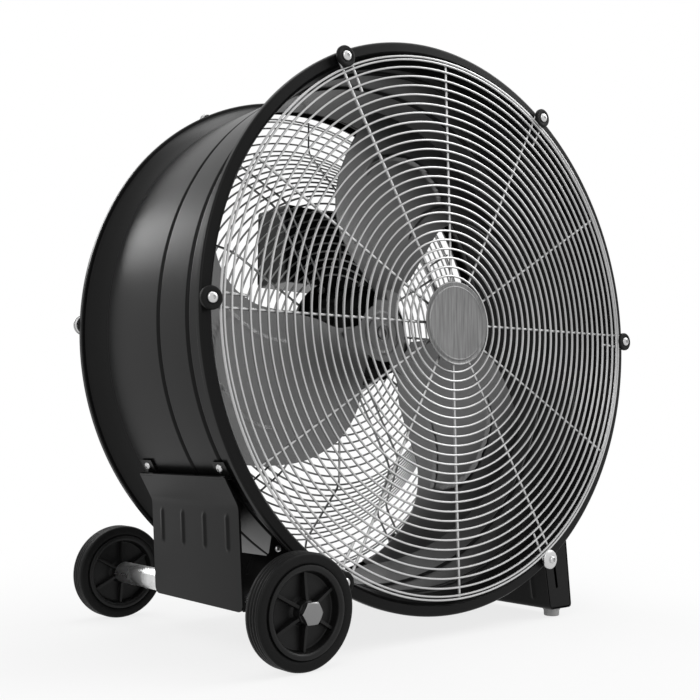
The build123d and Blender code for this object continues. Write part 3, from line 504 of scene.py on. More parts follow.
def rear_ring_places():
    """Rings at one pitch along the rear side of the spokes, lifted off it by their own radius."""
    lift = RING_R - WELD
    line = rear_line(OUTER_RING_R - RING_PITCH)
    places = []
    left = 0.0
    for (y0, r0), (y1, r1) in zip(line, line[1:]):
        length = hypot(y1 - y0, r1 - r0)
        run, rise = (y1 - y0) / length, (r1 - r0) / length
        steps = np.arange(left, length, RING_PITCH)
        places += [(y0 + run * s - rise * lift, r0 + rise * s + run * lift) for s in steps]
        left = steps[-1] + RING_PITCH - length
    return [(y, r) for y, r in places if r > RING_FIRST_R]


def rear_spoke(shape, outer_r, beside, angle):
    """Spoke bent into the dish, so far beside the line out along the angle."""
    corners = [plane_point(y - SPOKE_R, r, beside, angle) for y, r in rear_line(outer_r)]
    across = plane_point(0, 0, 1, angle) - (0, 0, AXIS_Z)
    wire(shape, rounded_path(corners, SPOKE_BEND), SPOKE_R, up=across)


def make_rear_wires():
    """Rings, free spokes, and twin spokes joined by a half turn round each clip screw."""
    shape = Shape()
    for y, radius in rear_ring_places():
        ring(shape, y, radius)
    outer_rings(shape, REAR_WIRE_BACK - WELD + RING_R)
    hub_back = REAR_WIRE_BACK - DISH_DEPTH
    hub = washer_profile(hub_back - 2 * SPOKE_R, hub_back, SPOKE_INNER_R, SPOKE_INNER_R + 9 * MM)
    shape.turn(hub, 96)
    along, across = CLIP_R + TWIN_HALF * np.cos(HALF_TURN), TWIN_HALF * np.sin(HALF_TURN)
    for i in range(SPOKES):
        rear_spoke(shape, FREE_SPOKE_R, 0, 2 * pi * (i + 0.5) / SPOKES)
        angle = 2 * pi * i / SPOKES
        for side in (-1, 1):
            rear_spoke(shape, CLIP_R, side * TWIN_HALF, angle)
        wire(shape, plane_point(REAR_WIRE_BACK - SPOKE_R, along, across, angle), SPOKE_R)
    dress(shape, "rear_guard_wires", "rear_grille", smooth=40)


def make_badge():
    """Turned disc: a tapered back, a rolled edge, a raised inner ring and a slightly sunk face."""
    face = lowest("hub_badge")[1]
    roll = 1.2 * MM
    profile = [(BADGE_BACK, 0), (BADGE_BACK, BADGE_R - 5 * MM), (face + 3.2 * MM, BADGE_R - 1.6 * MM)]
    profile += arc(face + 1.8 * MM, BADGE_R - roll, roll, 0, 180, 9) + rows_from(face, BADGE_R, (1.6, -2.8))
    profile += rows_from(face, BADGE_RING_R, (1.6, 1.6), (0.4, 0.8), (0, 0), (0, -0.6), (0.7, -1.6))
    profile += [(face + 0.7 * MM, 0)]
    shape = Shape()
    shape.grid(turned(profile, 160), close_rows=True)
    dress(shape, "badge_disc", "hub_badge")


# ---- rotor ----
BLADES = 3
BLADE_CLOCK = 10.0
BLADE_SHEET = 1.6 * MM
BLADE_TIP_R = 302 * MM
TIP_ROUND = 5 * MM
BLADE_WIDE = np.array((-135.0, 60.0, 260.0)) * MM
BLADE_SHARES = np.array((0.15, 0.36, 0.66, 1.02))
BLADE_BACKS = np.array(((-41, 18.5, 77.5), (-15.4, 13.1, 24), (-9.5, 14, 13.5), (-7.5, 14, 12))) * MM
EDGE_SHARES = np.array((0.15, 0.2, 0.33, 0.5, 0.66, 0.83, 1))
TRAILING_LEANS = np.array((28, 33, 42, 42, 34.5, 23.5, 13))
LEADING_LEANS = np.array((-28, -23, -26.6, -26.8, -27.5, -35.5, -54.5))
# the pressed rib's path: radii in millimetres and leans in degrees
PRESSED_PATH = np.array((
    (216, 17), (230, 13.5), (241, 9), (249, 3.5), (256, -3), (258, -9.5), (252, -15), (242, -20), (230, -23),
    (215, -20), (193, -16), (170, -13), (150, -11.5),
))
PRESSED_HALF = 4.2 * MM
PRESSED_HEIGHT = 2.2 * MM
HUB_PLATE_R = 38 * MM
HUB_PLATE = 2.6 * MM
HUB_HOLE_R = 8.35 * MM
HUB_RIDGES = ((26.5 * MM, 3.4 * MM, 1.4 * MM), (10.5 * MM, 2 * MM, 0.9 * MM))
HUB_ARM_HALF = 20.5 * MM
HUB_ARM_END_R = 60 * MM
HUB_BLEND = 8
HUB_EDGE = 0.4


def through(places, values, wanted):
    """Smooth curve through values: cubic Hermite runs whose slopes are the values' gradients."""
    slopes = np.gradient(values, places)
    i = np.clip(np.searchsorted(places, wanted) - 1, 0, len(places) - 2)
    width = places[i + 1] - places[i]
    t = (wanted - places[i]) / width
    return (
        values[i] * (2 * t**3 - 3 * t**2 + 1) + slopes[i] * width * (t**3 - 2 * t**2 + t)
        + values[i + 1] * (3 * t**2 - 2 * t**3) + slopes[i + 1] * width * (t**3 - t**2)
    )


def blade_depth(x, share):
    """How far back the sheet lies: at each of three x places a cubic of the share of the tip's radius,
    and a parabola in x through the three."""
    depth = 0
    for i, column in enumerate(BLADE_BACKS.T):
        back = np.polyval(np.polyfit(BLADE_SHARES, column, 3), share)
        a, (b, c) = BLADE_WIDE[i], np.delete(BLADE_WIDE, i)
        depth += back * (x - b) * (x - c) / ((a - b) * (a - c))
    return depth


def pressed_rise(x, z):
    """Height of the rounded rib: a squared cosine of the distance to its path."""
    lean = np.radians(90 + PRESSED_PATH[:, 1])
    path = PRESSED_PATH[:, :1] * MM * np.stack([np.cos(lean), np.sin(lean)], 1)
    runs = [np.linspace(p, q, 12, endpoint=False) for p, q in zip(path, path[1:])]
    dense = np.concatenate(runs + [path[-1:]])
    away = np.sqrt(np.min((x[..., None] - dense[:, 0]) ** 2 + (z[..., None] - dense[:, 1]) ** 2, axis=-1))
    return PRESSED_HEIGHT * swell(away, PRESSED_HALF)


def make_blades():
    """Three swept blades: a grid of radii and of angles between the two edges, laid on the blade's depth."""
    shares = np.linspace(0.15, 1, 92)[:, None]
    across = np.linspace(0, 1, 104)[None, :]
    trailing = through(EDGE_SHARES, TRAILING_LEANS, shares)
    leading = through(EDGE_SHARES, LEADING_LEANS, shares)
    tip = 1 - (TIP_ROUND / BLADE_TIP_R) * (np.clip(np.abs(across - 0.5) * 2 - 0.94, 0, 1) / 0.06) ** 2
    angle = np.radians(90 + trailing + (leading - trailing) * across)
    radius = shares * BLADE_TIP_R * np.where(shares > 0.99, tip, 1)
    x, z = radius * np.cos(angle), radius * np.sin(angle)
    depth = ROTOR_Y + blade_depth(x, z / BLADE_TIP_R) - pressed_rise(x, z)
    shape = Shape()
    for i in range(BLADES):
        turn = radians(-BLADE_CLOCK - 360 / BLADES * i)
        sheet(shape, *(plane_point(depth + way * BLADE_SHEET / 2, x, z, turn) for way in (-1, 1)))
    add_hub_plate(shape)
    dress(shape, "fan_blades", "fan_rotor", body="rotor")


def add_hub_plate(shape):
    """Plate whose outline blends a disc and three arms by a high power of both, with two round ridges."""
    angle = even_angles(360)
    beside = (angle - radians(90 - BLADE_CLOCK) + pi / BLADES) % (2 * pi / BLADES) - pi / BLADES
    arm = np.minimum(HUB_ARM_END_R / np.cos(beside), HUB_ARM_HALF / np.maximum(np.abs(np.sin(beside)), 0.01))
    outline = ((arm / MM) ** HUB_BLEND + (HUB_PLATE_R / MM) ** HUB_BLEND) ** (1 / HUB_BLEND) * MM
    outline = np.minimum(outline, np.maximum(arm, HUB_PLATE_R) + 1 * MM)
    inward = np.concatenate([np.linspace(0, 1, 40), np.ones(4)])[:, None]
    edge = np.concatenate([np.zeros(40), [0.0, 0.3, 0.3, 0.0]])[:, None] * MM
    radius = HUB_HOLE_R + (outline - HUB_EDGE * MM - HUB_HOLE_R) * inward + edge
    thick = HUB_PLATE / MM
    steps = np.concatenate([np.zeros(41), [HUB_EDGE, thick - HUB_EDGE, thick]])[:, None] * MM
    ridge = sum(height * swell(np.abs(radius - middle_r), half) for middle_r, half, height in HUB_RIDGES)
    depth = ROTOR_Y - np.where(steps == 0, ridge, 0) + steps
    points = around_drum(depth, radius, angle)
    hole = points[:1].copy()
    hole[..., 1] = ROTOR_Y + HUB_PLATE
    shape.grid(np.concatenate([points, hole]), close_rows=True, close_columns=True)


# ---- clips ----
def pan_head(face, way, radius=6 * MM, height=3.2 * MM, socket=2.1 * MM):
    """Low dome with a round edge and a socket: way is the side that it stands out to."""
    dome = ((0, 1), (0.25, 1), (0.55, 0.93), (0.8, 0.78), (0.94, 0.58))
    rows = [(rise, share * radius) for rise, share in dome]
    rows += [(1, socket + 0.5 * MM), (1, socket + 0.1 * MM), (0.45, socket), (0.4, 0)]
    return [(face, 0)] + [(face + way * rise * height, r) for rise, r in rows]


def make_clips():
    """Rubber washers, a domed steel one and the screws' heads in front; discs, heads and shanks behind."""
    wire_front = FRONT_WIRE_BACK - 2 * SPOKE_R
    face = lowest("front_clip_washers")[1]
    rise = wire_front - face
    domed = [(wire_front, 0)] + rows_from(wire_front, WASHER_R, (0, -0.4), (-0.5, 0))
    domed += [
        (wire_front - (0.3 + 0.7 * np.sin(a)) * rise, WASHER_R - 7.4 * MM * (1 - np.cos(a)))
        for a in pi / 2 * np.linspace(0.1, 1, 10)
    ]
    domed += [(face, 0)]
    soft = [(wire_front, 0)] + arc(wire_front - 1.4 * MM, WASHER_R - 1.4 * MM, 1.4 * MM, 0, 90, 5)
    soft += arc(face + 1.8 * MM, WASHER_R - 1.8 * MM, 1.8 * MM, 90, 180, 6)
    soft += rows_from(face, WASHER_R, (0, -4.4), (0.5, -5.2)) + [(face + 0.5 * MM, 0)]
    washer_back, edge = REAR_WIRE_BACK + REAR_WASHER, 0.5 * MM
    disc = [(REAR_WIRE_BACK, 0)] + arc(REAR_WIRE_BACK + edge, WASHER_R - edge, edge, 180, 90, 4)
    disc += arc(washer_back - edge, WASHER_R - edge, edge, 90, 0, 4) + [(washer_back, 0)]
    shank_r = 2.9 * MM
    shank = [(REAR_Y - 3 * MM, 0), (REAR_Y - 3 * MM, shank_r), (REAR_WIRE_BACK, shank_r), (REAR_WIRE_BACK, 0)]
    rubber, steel, heads, washers, screws = (Shape() for _ in range(5))
    for i in range(SPOKES):
        angle = 2 * pi * i / SPOKES
        place = axis_at(CLIP_R * cos(angle), AXIS_Z + CLIP_R * sin(angle))
        if i == STEEL_CLIP:
            steel.turn(domed, 48, place)
            heads.turn(pan_head(face + 0.2 * MM, -1, 4.8 * MM, 3.5 * MM, 2.4 * MM), 24, place)
        else:
            rubber.turn(soft, 48, place)
            heads.turn(pan_head(face + 0.5 * MM, -1), 24, place)
        washers.turn(disc, 48, place)
        screws.turn(pan_head(washer_back, 1), 24, place)
        screws.turn(shank, 16, place)
    dress(rubber, "rubber_clip_washers", "front_clip_washers", smooth=50)
    dress(steel, "domed_steel_washer", "steel_clip_washer", smooth=50)
    dress(heads, "front_clip_heads", "front_clip_screws")
    dress(washers, "rear_clip_discs", "rear_clip_washers")
    dress(screws, "rear_clip_heads", "rear_clip_screws")


# ---- motor ----
MOTOR_FINS = 24
FIN_POINTS = 12
BARREL_R = 62 * MM
BARREL_SHOULDER = 1.5 * MM
FIN_HALF = 2.2 * MM


def make_motor():
    """Finned housing, its radius a rounded square wave round the axis, tapered in at both ends; and a front
    bell with a round shoulder, a raised outer ring and a bearing collar."""
    low, high = lowest("motor_body")[1], highest("motor_body")[1]
    angle = even_angles(MOTOR_FINS * FIN_POINTS)
    wave = np.clip(1.6 * np.cos(MOTOR_FINS * angle), -1, 1)
    rows = np.array([0, 0.02, 0.06, 0.5, 0.94, 0.98, 1])[:, None]
    share = np.array([0, 0.7, 1, 1, 1, 0.7, 0])[:, None]
    radius = BARREL_R + BARREL_SHOULDER * share + (FIN_HALF + FIN_HALF * wave) * share
    body = Shape()
    barrel = around_drum(low + (high - low) * rows, radius, angle)
    body.grid(barrel, close_columns=True)
    body.fan(barrel[0])
    body.fan(barrel[-1])
    dress(body, "finned_motor_body", "motor_body", smooth=30)
    low, high = lowest("motor_front_bell")[1], highest("motor_front_bell")[1]
    profile = rows_from(high, 0, (0, 6.4), (0, 61)) + arc(low + 7 * MM, 54 * MM, 7 * MM, 90, 180, 7)
    profile += rows_from(low, 0, (0, 46), (1.5, 44), (1.5, 24), (0, 22), (0, 6.4))
    bell = Shape()
    bell.turn(profile, 96)
    dress(bell, "front_bell", "motor_front_bell")


# ---- wheels ----
TYRE_INNER_R = 47 * MM
TREAD_HALF = 12.7 * MM
TREAD_SHOULDER = 2.6 * MM
TREAD_GROOVES = 3
TREAD_DEPTH = 2.2 * MM
TREAD_EDGE_R = WHEEL_R - 0.5 * MM
WHEEL_RIBS = 6
HUB_RIM_HALF = 13.7 * MM
HUB_BOSS_HALF = 15.4 * MM
HUB_ROLL = 4.2 * MM
HEX_HALF = 11 * MM
HEX_CONE_R = 10.4 * MM
BOLT_R = 6 * MM


def tyre_profile(middle_y):
    """Tyre from one seat on the rim to the other: convex sides, and rounded ridges beside the grooves."""
    level = TREAD_HALF - TREAD_SHOULDER
    pitch = 2 * level / (TREAD_GROOVES + 1)
    t = np.linspace(-level, level, 97)
    ridge = np.abs(np.cos(pi * (t - t[0]) / pitch + pi / 2)) ** 0.35
    tread = WHEEL_R - TREAD_DEPTH * (1 - ridge)
    outermost = np.abs(t) > t[-1] - pitch / 2
    tread = np.where(outermost, np.maximum(tread, TREAD_EDGE_R), tread)
    side = [
        (TREAD_HALF - TREAD_SHOULDER * (1 - np.sin(a)), TREAD_EDGE_R - 3.2 * MM * (1 - np.cos(a)))
        for a in pi / 2 * np.linspace(0, 1, 9)[1:]
    ]
    side += rows_from(TREAD_HALF, 0, (0, 52), (-0.2, 50), (-1, 48.4)) + [(TREAD_HALF - 2 * MM, TYRE_INNER_R)]
    return [(middle_y + y, r) for y, r in mirrored(side) + list(zip(t, tread)) + side]


def hub_profile(middle_y):
    """Rim, web and boss of a wheel, from the boss's bore out along one side and back along the other."""
    one = rows_from(HUB_BOSS_HALF, 0, (0, 6.05), (0, 10.6), (-0.8, 11.6))
    one += rows_from(0, 0, (5, 12.6), (2.6, 14.5), (2, 17), (2, 36.5), (2.6, 38.2), (4.5, 39.2))
    one += [
        (HUB_RIM_HALF - HUB_ROLL + HUB_ROLL * np.sin(a), 44 * MM - HUB_ROLL * np.cos(a))
        for a in np.linspace(0, pi / 2, 9)
    ]
    one += rows_from(HUB_RIM_HALF, 0, (-0.1, 45.6), (-0.5, 46.6)) + [(HUB_RIM_HALF - 1.4 * MM, TYRE_INNER_R)]
    return [(middle_y + y, r) for y, r in one + mirrored(one)]


def make_wheel(name, body):
    """A tyre, and a hub with ribs on both sides of its web."""
    middle_y = middle(name + "_tyre")[1]
    tyre = Shape()
    tyre.turn(tyre_profile(middle_y), 128, at_wheel)
    dress(tyre, name + "_rubber_tyre", name + "_tyre", body=body)
    hub = Shape()
    hub.turn(hub_profile(middle_y), 96, at_wheel)
    shift = (WHEEL_X, 0, WHEEL_Z - AXIS_Z)
    rib = np.array(rows_from(0, 0, (11.5, 1.5), (11.5, 12.6), (17, 11), (36, 8.4), (40.6, 8.4), (40.6, 1.5)))
    for i in range(WHEEL_RIBS):
        a = pi / WHEEL_RIBS + 2 * pi * i / WHEEL_RIBS

        def place(outline, across, a=a):
            return plane_point(middle_y + outline[:, 1], outline[:, 0], across, a) + shift

        for side in (-1, 1):
            slab(hub, rib * (1, side), -1.7 * MM, 1.7 * MM, place, edge=0.6 * MM)
    dress(hub, name + "_moulded_hub", name + "_wheel_hub", smooth=32, body=body)


def make_hex_head(name, node, way):
    """Hexagon with its corners cut by a cone: the radius is the half width over the cosine of the angle from
    the flat's middle. The bolt also has its round shank."""
    low, high = lowest(node)[1], highest(node)[1]
    face, seat = (low, low + 7.2 * MM) if way < 0 else (high, low)
    angle = even_angles(120)
    flat = HEX_HALF / np.cos(angle % (pi / 3) - pi / 6)
    drop = 0.25 * MM + (flat - HEX_CONE_R) * 0.58
    rows = [(seat, flat), (face - way * drop, flat), (face - way * 0.1 * MM, HEX_CONE_R)]
    rows += [(face, HEX_CONE_R * 0.97), (face, 0)]
    points = np.stack([at_wheel(y, radius, angle) for y, radius in rows])
    shape = Shape()
    shape.grid(points, close_columns=True)
    shape.fan(points[0])
    if way < 0:
        shape.turn([(seat, 0), (seat, BOLT_R), (high, BOLT_R), (high, 0)], 32, at_wheel)
    dress(shape, name, node, smooth=30)


# ---- brackets ----
BRACKET_SHEET = 2.5 * MM
BRACKET_HALF = 98 * MM
BRACKET_LINE = np.array([(-288.0, -182.0), (-270.0, -214.0), (-262.5, -326.0)]) * MM
BRACKET_BEND = 5 * MM
BRACKET_CORNER = 9 * MM
BRACKET_TOP_CORNER = 2 * MM
WALL_TOP = (-229 * MM, -268 * MM)
WALL_INNER_X = -196 * MM
WALL_CORNER = 4 * MM
RIB_PLACES = np.array((-73.5, -24.5, 24.5, 73.5)) * MM
RIB_TOP_Z, RIB_LOW_Z = -227 * MM, -259 * MM
RIB_HALF, RIB_HEIGHT = 5 * MM, 1.7 * MM
SLANT_R = 2.6 * MM
TAB_PLACE = 83 * MM
TAB_HALF = 13 * MM
TAB_R = DRUM_R + 2.6 * MM
CLOSE_R = DRUM_R + 0.4 * MM
FOOT_HALF = 145 * MM
FOOT_TOP_Z, FOOT_LOW_Z = -200 * MM, -363 * MM
FOOT_TOP_X, FOOT_LOW_X = (156 * MM, 210 * MM), (181 * MM, 225 * MM)
FOOT_BEND = 6 * MM
FOOT_BEND_Z = FOOT_LOW_Z + FOOT_BEND
FOOT_RIB_PLACE = 119 * MM
FOOT_RIB_TOP_Z, FOOT_RIB_LOW_Z = -322 * MM, -349 * MM
FOOT_RIB_HALF, FOOT_RIB_HEIGHT = 3.6 * MM, 1.6 * MM
FOOT_RIB_SIDE_X = 195 * MM


def drum_arc(x0, x1, radius):
    """Points of the drum's underside between two x places."""
    return [(x, -np.sqrt(radius**2 - x * x)) for x in np.linspace(x0, x1, 12)]


def pill_outline(start, end, radius):
    """Straight slot with round ends between two points."""
    lean = np.arctan2(end[1] - start[1], end[0] - start[0])
    turn = np.linspace(0, pi, 9)
    halves = ((start, lean + pi / 2 + turn), (end, lean - pi / 2 + turn))
    return np.concatenate([p + radius * np.stack([np.cos(a), np.sin(a)], 1) for p, a in halves])


def corner_cut(away, radius):
    """How far a round corner draws the edge in at a distance from its end."""
    return radius * (1 - np.sqrt(1 - np.clip(1 - away / radius, 0, 1) ** 2))


def make_wheel_bracket():
    """Folded plate: its section is carried along the drum, drawn in at the corners and pushed out at the ribs;
    with two end walls, a slanted rib on the front one, and the tabs over the drum."""
    line = rounded_path(BRACKET_LINE, BRACKET_BEND, steps=7)
    length = np.concatenate([[0], np.cumsum(np.linalg.norm(np.diff(line, axis=0), axis=1))])
    total = length[-1]
    corner = total - BRACKET_CORNER * (1 - np.sin(np.linspace(0, pi / 2, 9)))
    s = np.linspace(3 * MM, total - 10 * MM, 78)
    s = np.unique(np.concatenate([np.linspace(0, 3 * MM, 4), s, corner]))
    x, z = np.interp(s, length, line[:, 0]), np.interp(s, length, line[:, 1])
    normal = square_to(unit(np.stack([np.gradient(x, s), np.gradient(z, s)], 1)))
    half = BRACKET_HALF - corner_cut(total - s, BRACKET_CORNER) - corner_cut(s, BRACKET_TOP_CORNER)
    y = half[:, None] * np.linspace(-1, 1, 120)[None, :]
    rise = np.zeros_like(y)
    for rib in RIB_PLACES:
        away = np.hypot(y - rib, (z - np.clip(z, RIB_LOW_Z, RIB_TOP_Z))[:, None])
        rise += RIB_HEIGHT * swell(away, RIB_HALF)

    def side(out):
        px = x[:, None] + normal[:, 0, None] * (rise + out)
        pz = z[:, None] + normal[:, 1, None] * (rise + out)
        return point(px, DRUM_Y + y, AXIS_Z + pz)

    shape = Shape()
    sheet(shape, side(0), side(-BRACKET_SHEET))
    lap = BRACKET_SHEET / 2
    low_x, low_z = BRACKET_LINE[2]
    wall = [(-266 * MM + lap, -262 * MM), (low_x + lap, low_z + 1 * MM)]
    wall += [(WALL_INNER_X - WALL_CORNER, low_z), (WALL_INNER_X, low_z + WALL_CORNER)]
    wall += drum_arc(WALL_INNER_X, -224.6 * MM, CLOSE_R) + rows_from(*WALL_TOP, (0.6, 3), (-2.5, 0))
    for y0 in (DRUM_Y - BRACKET_HALF, DRUM_Y + BRACKET_HALF - BRACKET_SHEET):
        slab(shape, wall, y0, y0 + BRACKET_SHEET, in_section)
    slanted = pill_outline(*rows_from(0, 0, (-251, -268.5), (-257.5, -283)), SLANT_R)
    front_y = DRUM_Y - BRACKET_HALF
    slab(shape, slanted, front_y - 1 * MM, front_y + 1 * MM, in_section, edge=0.7 * MM)
    add_drum_tabs(shape)
    dress(shape, "folded_wheel_bracket", "wheel_bracket", smooth=32)


def add_drum_tabs(shape):
    """Curved tabs that lie on the drum, each with the ledge that joins it to the flange."""
    z = np.linspace(-188 * MM, -166 * MM, 10)[:, None]
    ledge = rows_from(0, 0, (-287, -182), (-287, -184.4), (-272.5, -184.4), (-274, -182))
    for side in (-1, 1):
        tab_y = DRUM_Y + side * TAB_PLACE
        y = tab_y + TAB_HALF * np.linspace(-1, 1, 8)[None, :]
        sheet(shape, *(point(-np.sqrt(radius**2 - z**2), y, AXIS_Z + z) for radius in (TAB_R, CLOSE_R)))
        slab(shape, ledge, tab_y - TAB_HALF, tab_y + TAB_HALF, in_section, edge=0.3 * MM)


def make_foot_pads():
    """Turned rubber feet: a flange above, a waist and a rounded foot."""
    shape = Shape()
    low, high = ends("foot_pads")
    x, top = (low[0] + high[0]) / 2, high[2]
    radius = (high[0] - low[0]) / 2
    profile = [(top, 0)] + rows_from(top, radius, (0, -0.6), (-1, 0), (-3, -0.3), (-3.6, -1.2))
    profile += rows_from(0, radius, (1.5, -1.4), (0.4, -2), (0, -3.4)) + [(0, 0)]
    for y in (low[1] + radius, high[1] - radius):
        shape.turn(profile, 48, upright_at(x, y))
    dress(shape, "turned_foot_pads", "foot_pads")


def drum_reach(beside):
    """Radius of the drum's outside at this distance from its middle, with the flare and the rim."""
    from_face = np.array((0, 8.9, 9.1, 39, 147.6)) * MM
    radii = np.array((350, 350, 344, 330, 330)) * MM
    return np.interp((REAR_Y - FRONT_Y) / 2 - np.abs(beside), from_face, radii) + 0.5 * MM


def foot_side_x(side, z):
    """Where a leaning side of the foot stands at this height."""
    share = (z - FOOT_TOP_Z) / (FOOT_LOW_Z - FOOT_TOP_Z)
    return FOOT_TOP_X[side] + (FOOT_LOW_X[side] - FOOT_TOP_X[side]) * share


def foot_top(side, beside):
    """Height at which a leaning side meets the drum, found by repeated substitution."""
    z = np.full_like(beside, -290 * MM)
    for _ in range(8):
        z = -np.sqrt(drum_reach(beside) ** 2 - foot_side_x(side, z) ** 2)
    return z


def foot_wall(y_end):
    """Outline of an end wall: down one side, up the other and along the drum."""
    lap = 0.5 * MM
    outline, reach_x = [], []
    for side, way in ((0, 1), (1, -1)):
        top_z = foot_top(side, y_end)[0]
        low_x = FOOT_LOW_X[side]
        edge = [(foot_side_x(side, z) + way * lap, z) for z in (top_z, FOOT_BEND_Z)]
        edge.append((low_x + way * FOOT_BEND * 0.4, FOOT_LOW_Z + FOOT_BEND * 0.3))
        edge.append((low_x + way * FOOT_BEND, FOOT_LOW_Z + lap))
        outline += edge[::way]
        reach_x.append(foot_side_x(side, top_z) + way * 2 * MM)
    return outline + drum_arc(reach_x[1], reach_x[0], drum_reach(y_end)[0])


def make_foot_bracket():
    """Channel: two leaning sides cut off at the drum and a round-cornered bottom, carried along the drum, with
    a wall at each end and a rib pressed out near each end of one side."""
    beside = np.linspace(-FOOT_HALF, FOOT_HALF, 146)
    t = np.linspace(0, 1, 44)[:, None]
    columns = []
    for side in (0, 1):
        z = foot_top(side, beside)[None, :] * (1 - t) + FOOT_BEND_Z * t
        columns.append(np.stack([foot_side_x(side, z), z], -1))
    corner = [(foot_side_x(side, FOOT_BEND_Z), FOOT_BEND_Z) for side in (0, 1)]
    low = [(x, FOOT_LOW_Z) for x in FOOT_LOW_X]
    bottom = rounded_path([corner[0], *low, corner[1]], FOOT_BEND * 0.98, steps=8)[1:-1]
    bottom = np.repeat(bottom[:, None, :], len(beside), 1)
    section = np.concatenate([columns[0], bottom, columns[1][::-1]])
    x, z = section[..., 0], section[..., 1]
    y = np.broadcast_to(beside, x.shape)
    normal = square_to(unit(np.gradient(section, axis=0)))
    away = np.hypot(np.abs(y) - FOOT_RIB_PLACE, z - np.clip(z, FOOT_RIB_LOW_Z, FOOT_RIB_TOP_Z))
    rise = FOOT_RIB_HEIGHT * swell(away, FOOT_RIB_HALF) * (x < FOOT_RIB_SIDE_X)

    def side_grid(out):
        shifted = section + normal * (rise + out)[..., None]
        return point(shifted[..., 0], DRUM_Y + y, AXIS_Z + shifted[..., 1])

    shape = Shape()
    sheet(shape, side_grid(0), side_grid(-BRACKET_SHEET))
    for end in (-1, 1):
        y0 = DRUM_Y + end * FOOT_HALF - (BRACKET_SHEET if end > 0 else 0)
        slab(shape, foot_wall(np.array([end * FOOT_HALF])), y0, y0 + BRACKET_SHEET, in_section)
    slanted = pill_outline(*rows_from(0, 0, (192, -309), (196, -334)), SLANT_R)
    y0 = DRUM_Y - FOOT_HALF
    slab(shape, slanted, y0, y0 + 1 * MM, in_section)
    dress(shape, "channel_foot_bracket", "foot_bracket", smooth=32)


def radial_place(y, angle):
    """Turning place whose axis points at the drum's axis: heights are radii from it."""
    return lambda height, radius, around: plane_point(
        y + radius * np.cos(around), height, radius * np.sin(around), angle
    )


def make_fixing_screws():
    """Heads of the wheel bracket's screws: two in its tabs and one in each end wall."""
    shape = Shape()
    on_tab = pan_head(TAB_R, 1, 5.4 * MM, 3 * MM, 1.8 * MM)
    angle = pi + np.arcsin(173 / 332.6)
    on_wall = axis_at(-218 * MM, AXIS_Z - 261 * MM)
    for side in (-1, 1):
        shape.turn(on_tab, 24, radial_place(DRUM_Y + side * TAB_PLACE, angle))
        wall_y = DRUM_Y + side * BRACKET_HALF
        shape.turn(pan_head(wall_y, side, 4 * MM, 2.6 * MM, 1.5 * MM), 24, on_wall)
    shape.piece("bracket_fixing_screws", "frame", FINISHES["zinc_screw"], "zinc_screw", 35)


# ---- control box ----
QUARTERS = ((1, 1), (-1, 1), (-1, -1), (1, -1))
BOX_CORNER = 6 * MM
BOX_SCREW_INSET = 8 * MM
GLAND_FLAT = 9.7 * MM
GLAND_NUT = 7 * MM


def rounded_rectangle(width, height, radius):
    """Corner arcs joined by straight sides, counter-clockwise."""
    x, z = width / 2 - radius, height / 2 - radius
    corners = []
    for i, (sx, sz) in enumerate(QUARTERS):
        turn = np.linspace(0, pi / 2, 6) + i * pi / 2
        corners.append(np.stack([sx * x + radius * np.cos(turn), sz * z + radius * np.sin(turn)], 1))
    return np.concatenate(corners)


def make_control_box():
    """Box and cover with rounded corners and edges, the ring round the knob, the screws' heads and the knob."""
    low, high = ends("control_box")
    centre = (low + high) / 2
    width, height = high[0] - low[0], high[2] - low[2]
    face = highest("box_cover")[1]
    outline = rounded_rectangle(width, height, BOX_CORNER)
    at_box, at_knob = plane_at(centre[0], centre[2]), axis_at(centre[0], centre[2])
    box, cover, screws, knob = (Shape() for _ in range(4))
    slab(box, outline, low[1], high[1], at_box, edge=2.4 * MM)
    dress(box, "rounded_control_box", "control_box", smooth=32)
    slab(cover, outline, high[1] + 0.2 * MM, face, at_box, edge=0.7 * MM)
    cover.turn(rows_from(face, 0, (-0.5, 19), (-0.1, 19.4), (-0.1, 24), (-0.5, 24.4)), 96, at_knob)
    dress(cover, "edged_box_cover", "box_cover", smooth=32)
    for sx in (-1, 1):
        for sz in (-1, 1):
            x = centre[0] + sx * (width / 2 - BOX_SCREW_INSET)
            z = centre[2] + sz * (height / 2 - BOX_SCREW_INSET)
            screws.turn(pan_head(face, 1, 3.6 * MM, 2.1 * MM, 1.3 * MM), 24, axis_at(x, z))
    dress(screws, "box_screw_heads", "box_screws")
    knob_low, knob_high = ends("speed_knob")
    top = knob_high[1] - 4 * MM
    skirt = (knob_high[0] - knob_low[0]) / 2
    foot = face + 0.5 * MM
    profile = [(foot, 0)] + rows_from(foot, skirt, (0, -0.4), (0.5, 0), (3, -0.3))
    profile += rows_from(foot, 0, (3.8, 16.8)) + rows_from(top, 0, (-2, 15.8), (-0.6, 15), (0, 13.6), (0, 0))
    knob.turn(profile, 72, at_knob)
    grip = pill_outline((0, -11.5 * MM), (0, 11.5 * MM), 3.8 * MM)
    slab(knob, grip, top - 0.5 * MM, knob_high[1], at_box, edge=1.2 * MM)
    dress(knob, "turned_speed_knob", "speed_knob", smooth=32, body="knob")


